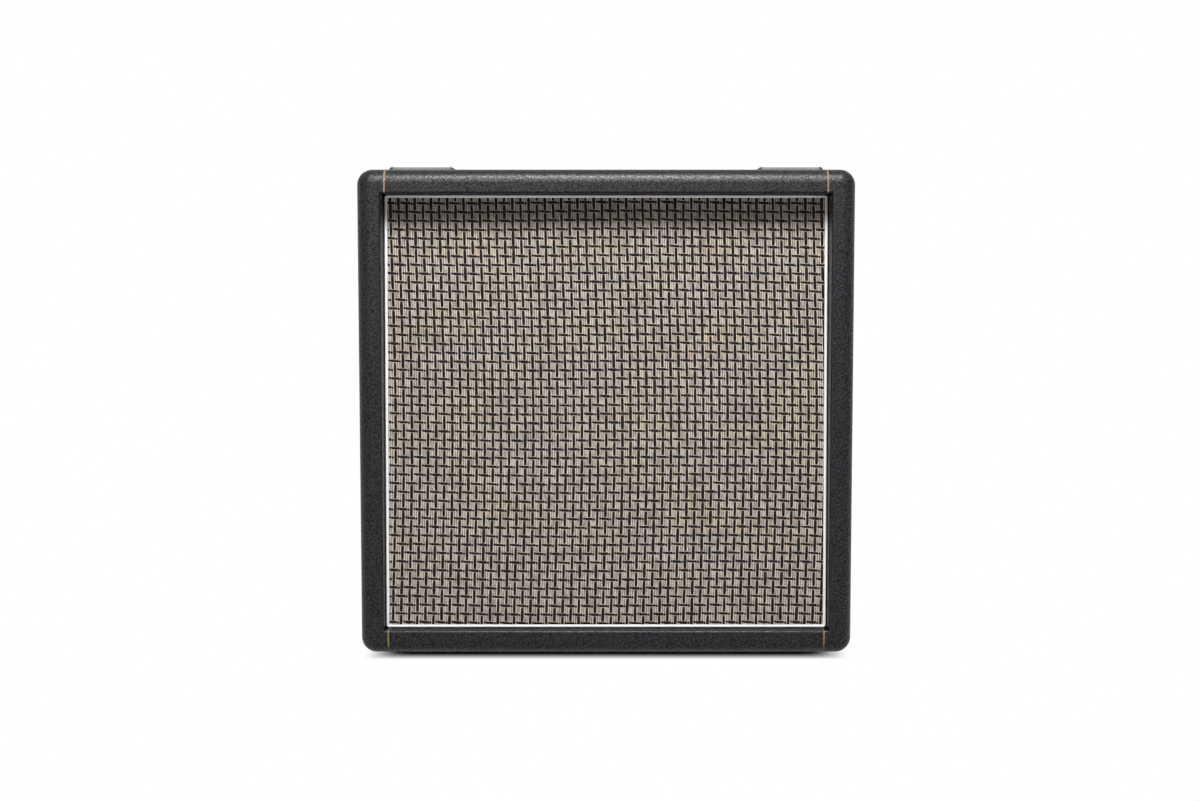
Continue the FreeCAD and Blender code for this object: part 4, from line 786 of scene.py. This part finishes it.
white_vinyl = mottled_finish(
    "white_bead", dark=(0.82, 0.82, 0.84, 1), light=(0.89, 0.89, 0.90, 1), satin=0.36, dull=0.5,
    scale=160.0, strength=0.12, depth=0.0004,
)
piping, piping_in, piping_out = new_group(
    "piped_edge", "GeometryNodeTree",
    {"Line": "Geometry", "Bead wide": "Float", "Bead deep": "Float", "Bead square": "Float",
     "Bead points": "Int", "Flange thick": "Float", "Bead out": "Float", "Flange deep": "Float",
     "Flange reach": "Float", "Baffle turn": "Vector", "Baffle place": "Vector", "Material": "Material"},
    {"Piping": "Geometry"},
)
piping_sum = partial(math_node, piping)
path = add(piping, "GeometryNodeMeshToCurve", {"Mesh": piping_in["Line"]}).outputs[0]
path = add(piping, "GeometryNodeSetCurveNormal", {"Curve": path}, mode="Z_UP").outputs[0]
bead = add(piping, "GeometryNodeCurvePrimitiveCircle", {
    "Resolution": piping_in["Bead points"], "Radius": 1.0,
}).outputs[0]
at = add(piping, "ShaderNodeSeparateXYZ", {0: add(piping, "GeometryNodeInputPosition").outputs[0]}).outputs
powers = [piping_sum("POWER", piping_sum("ABSOLUTE", at[axis]), piping_in["Bead square"]) for axis in "XY"]
fuller = piping_sum("POWER", piping_sum("ADD", *powers), piping_sum("DIVIDE", -1.0, piping_in["Bead square"]))
squared = {}
for axis, size in (("X", "Bead wide"), ("Y", "Bead deep")):
    half = piping_sum("MULTIPLY", piping_in[size], 0.5)
    squared[axis] = piping_sum("MULTIPLY", piping_sum("MULTIPLY", at[axis], fuller), half)
bead_place = add(piping, "ShaderNodeCombineXYZ", squared).outputs[0]
bead = add(piping, "GeometryNodeSetPosition", {"Geometry": bead, "Position": bead_place}).outputs[0]
bead = add(piping, "GeometryNodeCurveToMesh", {"Curve": path, "Profile Curve": bead}).outputs[0]


def flange_strip(wide, deep, aside, behind):
    """Flat strip of the flange along the path, by its section and its place behind the bead's middle."""
    section = add(piping, "GeometryNodeCurvePrimitiveQuadrilateral", {
        "Width": wide, "Height": deep,
    }).outputs[0]
    middle = add(piping, "ShaderNodeCombineXYZ", {"X": aside, "Y": behind}).outputs[0]
    section = add(piping, "GeometryNodeTransform", {"Geometry": section, "Translation": middle}).outputs[0]
    return add(piping, "GeometryNodeCurveToMesh", {"Curve": path, "Profile Curve": section}).outputs[0]


thick = piping_in["Flange thick"]
deep = piping_in["Flange deep"]
front = piping_sum("SUBTRACT", piping_in["Bead out"], thick)
fold = piping_sum("MULTIPLY_ADD", thick, -0.5, piping_in["Flange reach"])
half_fold = piping_sum("MULTIPLY", fold, 0.5)
laid_flat = flange_strip(fold, thick, half_fold, piping_sum("MULTIPLY_ADD", thick, 0.5, front))
turned_back = flange_strip(thick, deep, fold, piping_sum("MULTIPLY_ADD", deep, 0.5, front))
strips = add(piping, "GeometryNodeJoinGeometry")
for strip in (turned_back, laid_flat, bead):
    piping.links.new(strip, strips.inputs[0])
run = add(piping, "GeometryNodeTransform", {
    "Geometry": strips.outputs[0], "Translation": piping_in["Baffle place"],
    "Rotation": piping_in["Baffle turn"],
}).outputs[0]
piping.links.new(surfaced(piping, run, piping_in["Material"]), piping_out["Piping"])

corner_x = BEAD_X - BEAD_CORNER_R
corner_z = BEAD_Z - BEAD_CORNER_R
bead_line = []
for side, up, start in ((1, 1, 0), (-1, 1, 90), (-1, -1, 180), (1, -1, 270)):
    turn = quarter_turn(side * corner_x, up * corner_z, BEAD_CORNER_R, start)
    bead_line += [(x, z, BEAD_OUT) for x, z in turn]
bead_runs = [(i, (i + 1) % len(bead_line)) for i in range(len(bead_line))]
piping_line = bpy.data.meshes.new("piping_line")
piping_line.from_pydata(bead_line, bead_runs, [])
white_piping = grown("white_piping", piping_line, piping, {
    "Bead wide": BEAD_WIDE, "Bead deep": BEAD_DEEP, "Bead square": BEAD_SQUARE, "Bead points": BEAD_POINTS,
    "Bead out": BEAD_OUT, "Flange thick": FLANGE_T, "Flange deep": FLANGE_DEEP, "Flange reach": FLANGE_REACH,
    "Baffle turn": BAFFLE_TURN, "Baffle place": BAFFLE_PLACE, "Material": white_vinyl,
})
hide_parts("grille_piping")
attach(white_piping, "cabinet")


# Back: screws that hold the back panel to its battens and post, and the jack on its plate.
# Blacked steel screws with cross heads, a painted plate, and a nickelled frame and nut on the jack.
# The wafers are phenolic board and the tip spring plated steel.
blacked = mottled_finish(
    "blacked_steel", dark=(0.035, 0.034, 0.033, 1), light=(0.075, 0.073, 0.07, 1), satin=0.3, dull=0.45,
    scale=600.0, strength=0.2, Metallic=0.6,
)
plate_paint = mottled_finish(
    "satin_paint", dark=(0.010, 0.010, 0.011, 1), light=(0.020, 0.020, 0.021, 1), satin=0.38, dull=0.52,
    scale=750.0, strength=0.25,
)
nickel = mottled_finish(
    "nickel_plate", dark=(0.58, 0.56, 0.52, 1), light=(0.72, 0.70, 0.66, 1), satin=0.12, dull=0.28,
    scale=260.0, strength=0.1, Metallic=1.0,
)
phenolic = mottled_finish(
    "phenolic_board", dark=(0.09, 0.035, 0.015, 1), light=(0.16, 0.07, 0.03, 1), satin=0.4, dull=0.6,
    scale=800.0, strength=0.25,
)
coat(blacked, "back_panel_screws", "jack_plate_screws")
coat(plate_paint, "jack_plate")
coat(nickel, "jack_nut_and_washer", "jack_frame")
coat(phenolic, "jack_wafers")
coat(plated_steel, "jack_tip_spring")


# Handles, stacking cups and feet: moulded pans in the sides, bevelled dishes on the top, rubber feet.
# Black plastic, spark textured or smooth, and black rubber; small brassed screws hold the cups.
# The feet of a second cabinet stand in the cups, so the two don't slide.
CUPS = ("front_left", "front_right", "rear_left", "rear_right")

black_plastic = mottled_finish(
    "spark_plastic", dark=(0.010, 0.010, 0.011, 1), light=(0.018, 0.018, 0.019, 1), satin=0.34, dull=0.46,
    scale=1300.0, strength=0.35,
)
cup_plastic = mottled_finish(
    "polished_plastic", dark=(0.010, 0.010, 0.011, 1), light=(0.016, 0.016, 0.017, 1), satin=0.42, dull=0.52,
    scale=700.0, strength=0.1,
)
brass = mottled_finish(
    "brassed_steel", dark=(0.55, 0.36, 0.11, 1), light=(0.74, 0.52, 0.20, 1), satin=0.22, dull=0.36,
    scale=420.0, strength=0.15, Metallic=1.0,
)
rubber = mottled_finish(
    "foot_rubber", dark=(0.008, 0.008, 0.008, 1), light=(0.017, 0.017, 0.017, 1), satin=0.65, dull=0.85,
    scale=900.0, strength=0.4, depth=0.0003,
)
coat(black_plastic, "handle_left", "handle_right")
coat(blacked, "handle_screws")
coat(cup_plastic, *["stacking_cup_" + where for where in CUPS])
coat(brass, "stacking_cup_screws")
coat(rubber, "rubber_feet")
coat(plated_steel, "foot_screws")


# Studio: a white floor, two soft lights high in front, and a third that shows only in reflections.
# The floor shows the shadow close to the cabinet; further out, camera rays and mirrored rays see white.
# The camera stands in front, level with the upper half, and looks slightly down.
WHITE = (1, 1, 1, 1)
FLOOR_HALF = 6.0
FLOOR_WHITE = (0.60, 0.60, 0.60, 1)
STANDS_ON = (0.385, 0.1825, 0.0)
SHADE_FULL = -0.05
SHADE_GONE = 0.005
SHADE_ROUND = 0.05
FILL_LIGHT = 0.02
KEY_SIZE = (1.3, 1.33)
KEY_POWER = 92.0
KEY_AT = Vector((0.05, -2.045, 3.035))
KEY_AIM = Vector((0.0, -0.14, 0.50))
OVER_SIZE = (1.6, 0.5)
OVER_POWER = 54.0
OVER_AT = Vector((0.05, -1.75, 2.65))
OVER_AIM = Vector((0.0, -0.18, 0.76))
GLOSS_SIZE = (2.2, 1.2)
GLOSS_POWER = 66.0
GLOSS_AT = Vector((0.0, -2.65, 2.07))
GLOSS_AIM = Vector((0.0, -0.18, 0.76))
LENS = 50.0
SENSOR = 36.0
EYE = (0.0, -2.758, 0.598)
EYE_TILT = math.radians(85.81)
EYE_SHIFT_X = -0.0051
EYE_SHIFT_Y = -0.0004


def seen_white(tree):
    """1 for rays of the camera, mirrors and glass, else 0."""
    rays = add(tree, "ShaderNodeLightPath").outputs
    mirrored = math_node(tree, "MAXIMUM", rays["Is Glossy Ray"], rays["Is Transmission Ray"])
    return math_node(tree, "MAXIMUM", rays["Is Camera Ray"], mirrored)


floor_corners = [(x * FLOOR_HALF, y * FLOOR_HALF, 0.0) for x, y in ((-1, -1), (1, -1), (1, 1), (-1, 1))]
floor_mesh = bpy.data.meshes.new("studio_floor")
floor_mesh.from_pydata(floor_corners, [], [(0, 1, 2, 3)])
studio_floor = bpy.data.objects.new("studio_floor", floor_mesh)
bpy.context.scene.collection.objects.link(studio_floor)
floor_paint, tree, shader, place = new_finish("floor_paint", Roughness=0.9, Base_Color=FLOOR_WHITE)
past = vector_node(tree, "SUBTRACT", vector_node(tree, "ABSOLUTE", place), STANDS_ON)
past = add(tree, "ShaderNodeSeparateXYZ", {0: past}).outputs
away = math_node(tree, "SMOOTH_MAX", past["X"], past["Y"], SHADE_ROUND)
glow = add(tree, "ShaderNodeEmission", {"Color": WHITE, "Strength": 1.0})
both = add(tree, "ShaderNodeMixShader", {
    0: math_node(tree, "MULTIPLY", seen_white(tree), ranged(tree, away, SHADE_FULL, SHADE_GONE)),
    1: shader.outputs[0], 2: glow.outputs[0],
})
tree.links.new(both.outputs[0], tree.nodes["Material Output"].inputs["Surface"])
studio_floor.data.materials.append(floor_paint)

world = bpy.data.worlds.new("white_surround")
world.use_nodes = True
tree = world.node_tree
strength = add(tree, "ShaderNodeMapRange", {
    "Value": seen_white(tree), "To Min": FILL_LIGHT, "To Max": 1.0,
}).outputs[0]
tree.links.new(strength, tree.nodes["Background"].inputs["Strength"])
tree.nodes["Background"].inputs["Color"].default_value = WHITE
bpy.context.scene.world = world

for name, size, power, at, aim, lights_matt in (
    ("key_softbox", KEY_SIZE, KEY_POWER, KEY_AT, KEY_AIM, True),
    ("over_softbox", OVER_SIZE, OVER_POWER, OVER_AT, OVER_AIM, True),
    ("gloss_softbox", GLOSS_SIZE, GLOSS_POWER, GLOSS_AT, GLOSS_AIM, False),
):
    lamp = bpy.data.lights.new(name, "AREA")
    lamp.shape = "RECTANGLE"
    lamp.size, lamp.size_y = size
    lamp.energy = power
    softbox = bpy.data.objects.new(name, lamp)
    softbox.location = at
    softbox.visible_diffuse = lights_matt
    softbox.rotation_euler = (aim - at).to_track_quat("-Z", "Y").to_euler()
    bpy.context.scene.collection.objects.link(softbox)

eye_data = bpy.data.cameras.new("eye")
eye_data.lens = LENS
eye_data.sensor_width = SENSOR
eye_data.shift_x = EYE_SHIFT_X
eye_data.shift_y = EYE_SHIFT_Y
eye = bpy.data.objects.new("eye", eye_data)
eye.location = EYE
eye.rotation_euler = (EYE_TILT, 0.0, 0.0)
bpy.context.scene.collection.objects.link(eye)
bpy.context.scene.camera = eye
bpy.context.scene.view_settings.view_transform = "Standard"
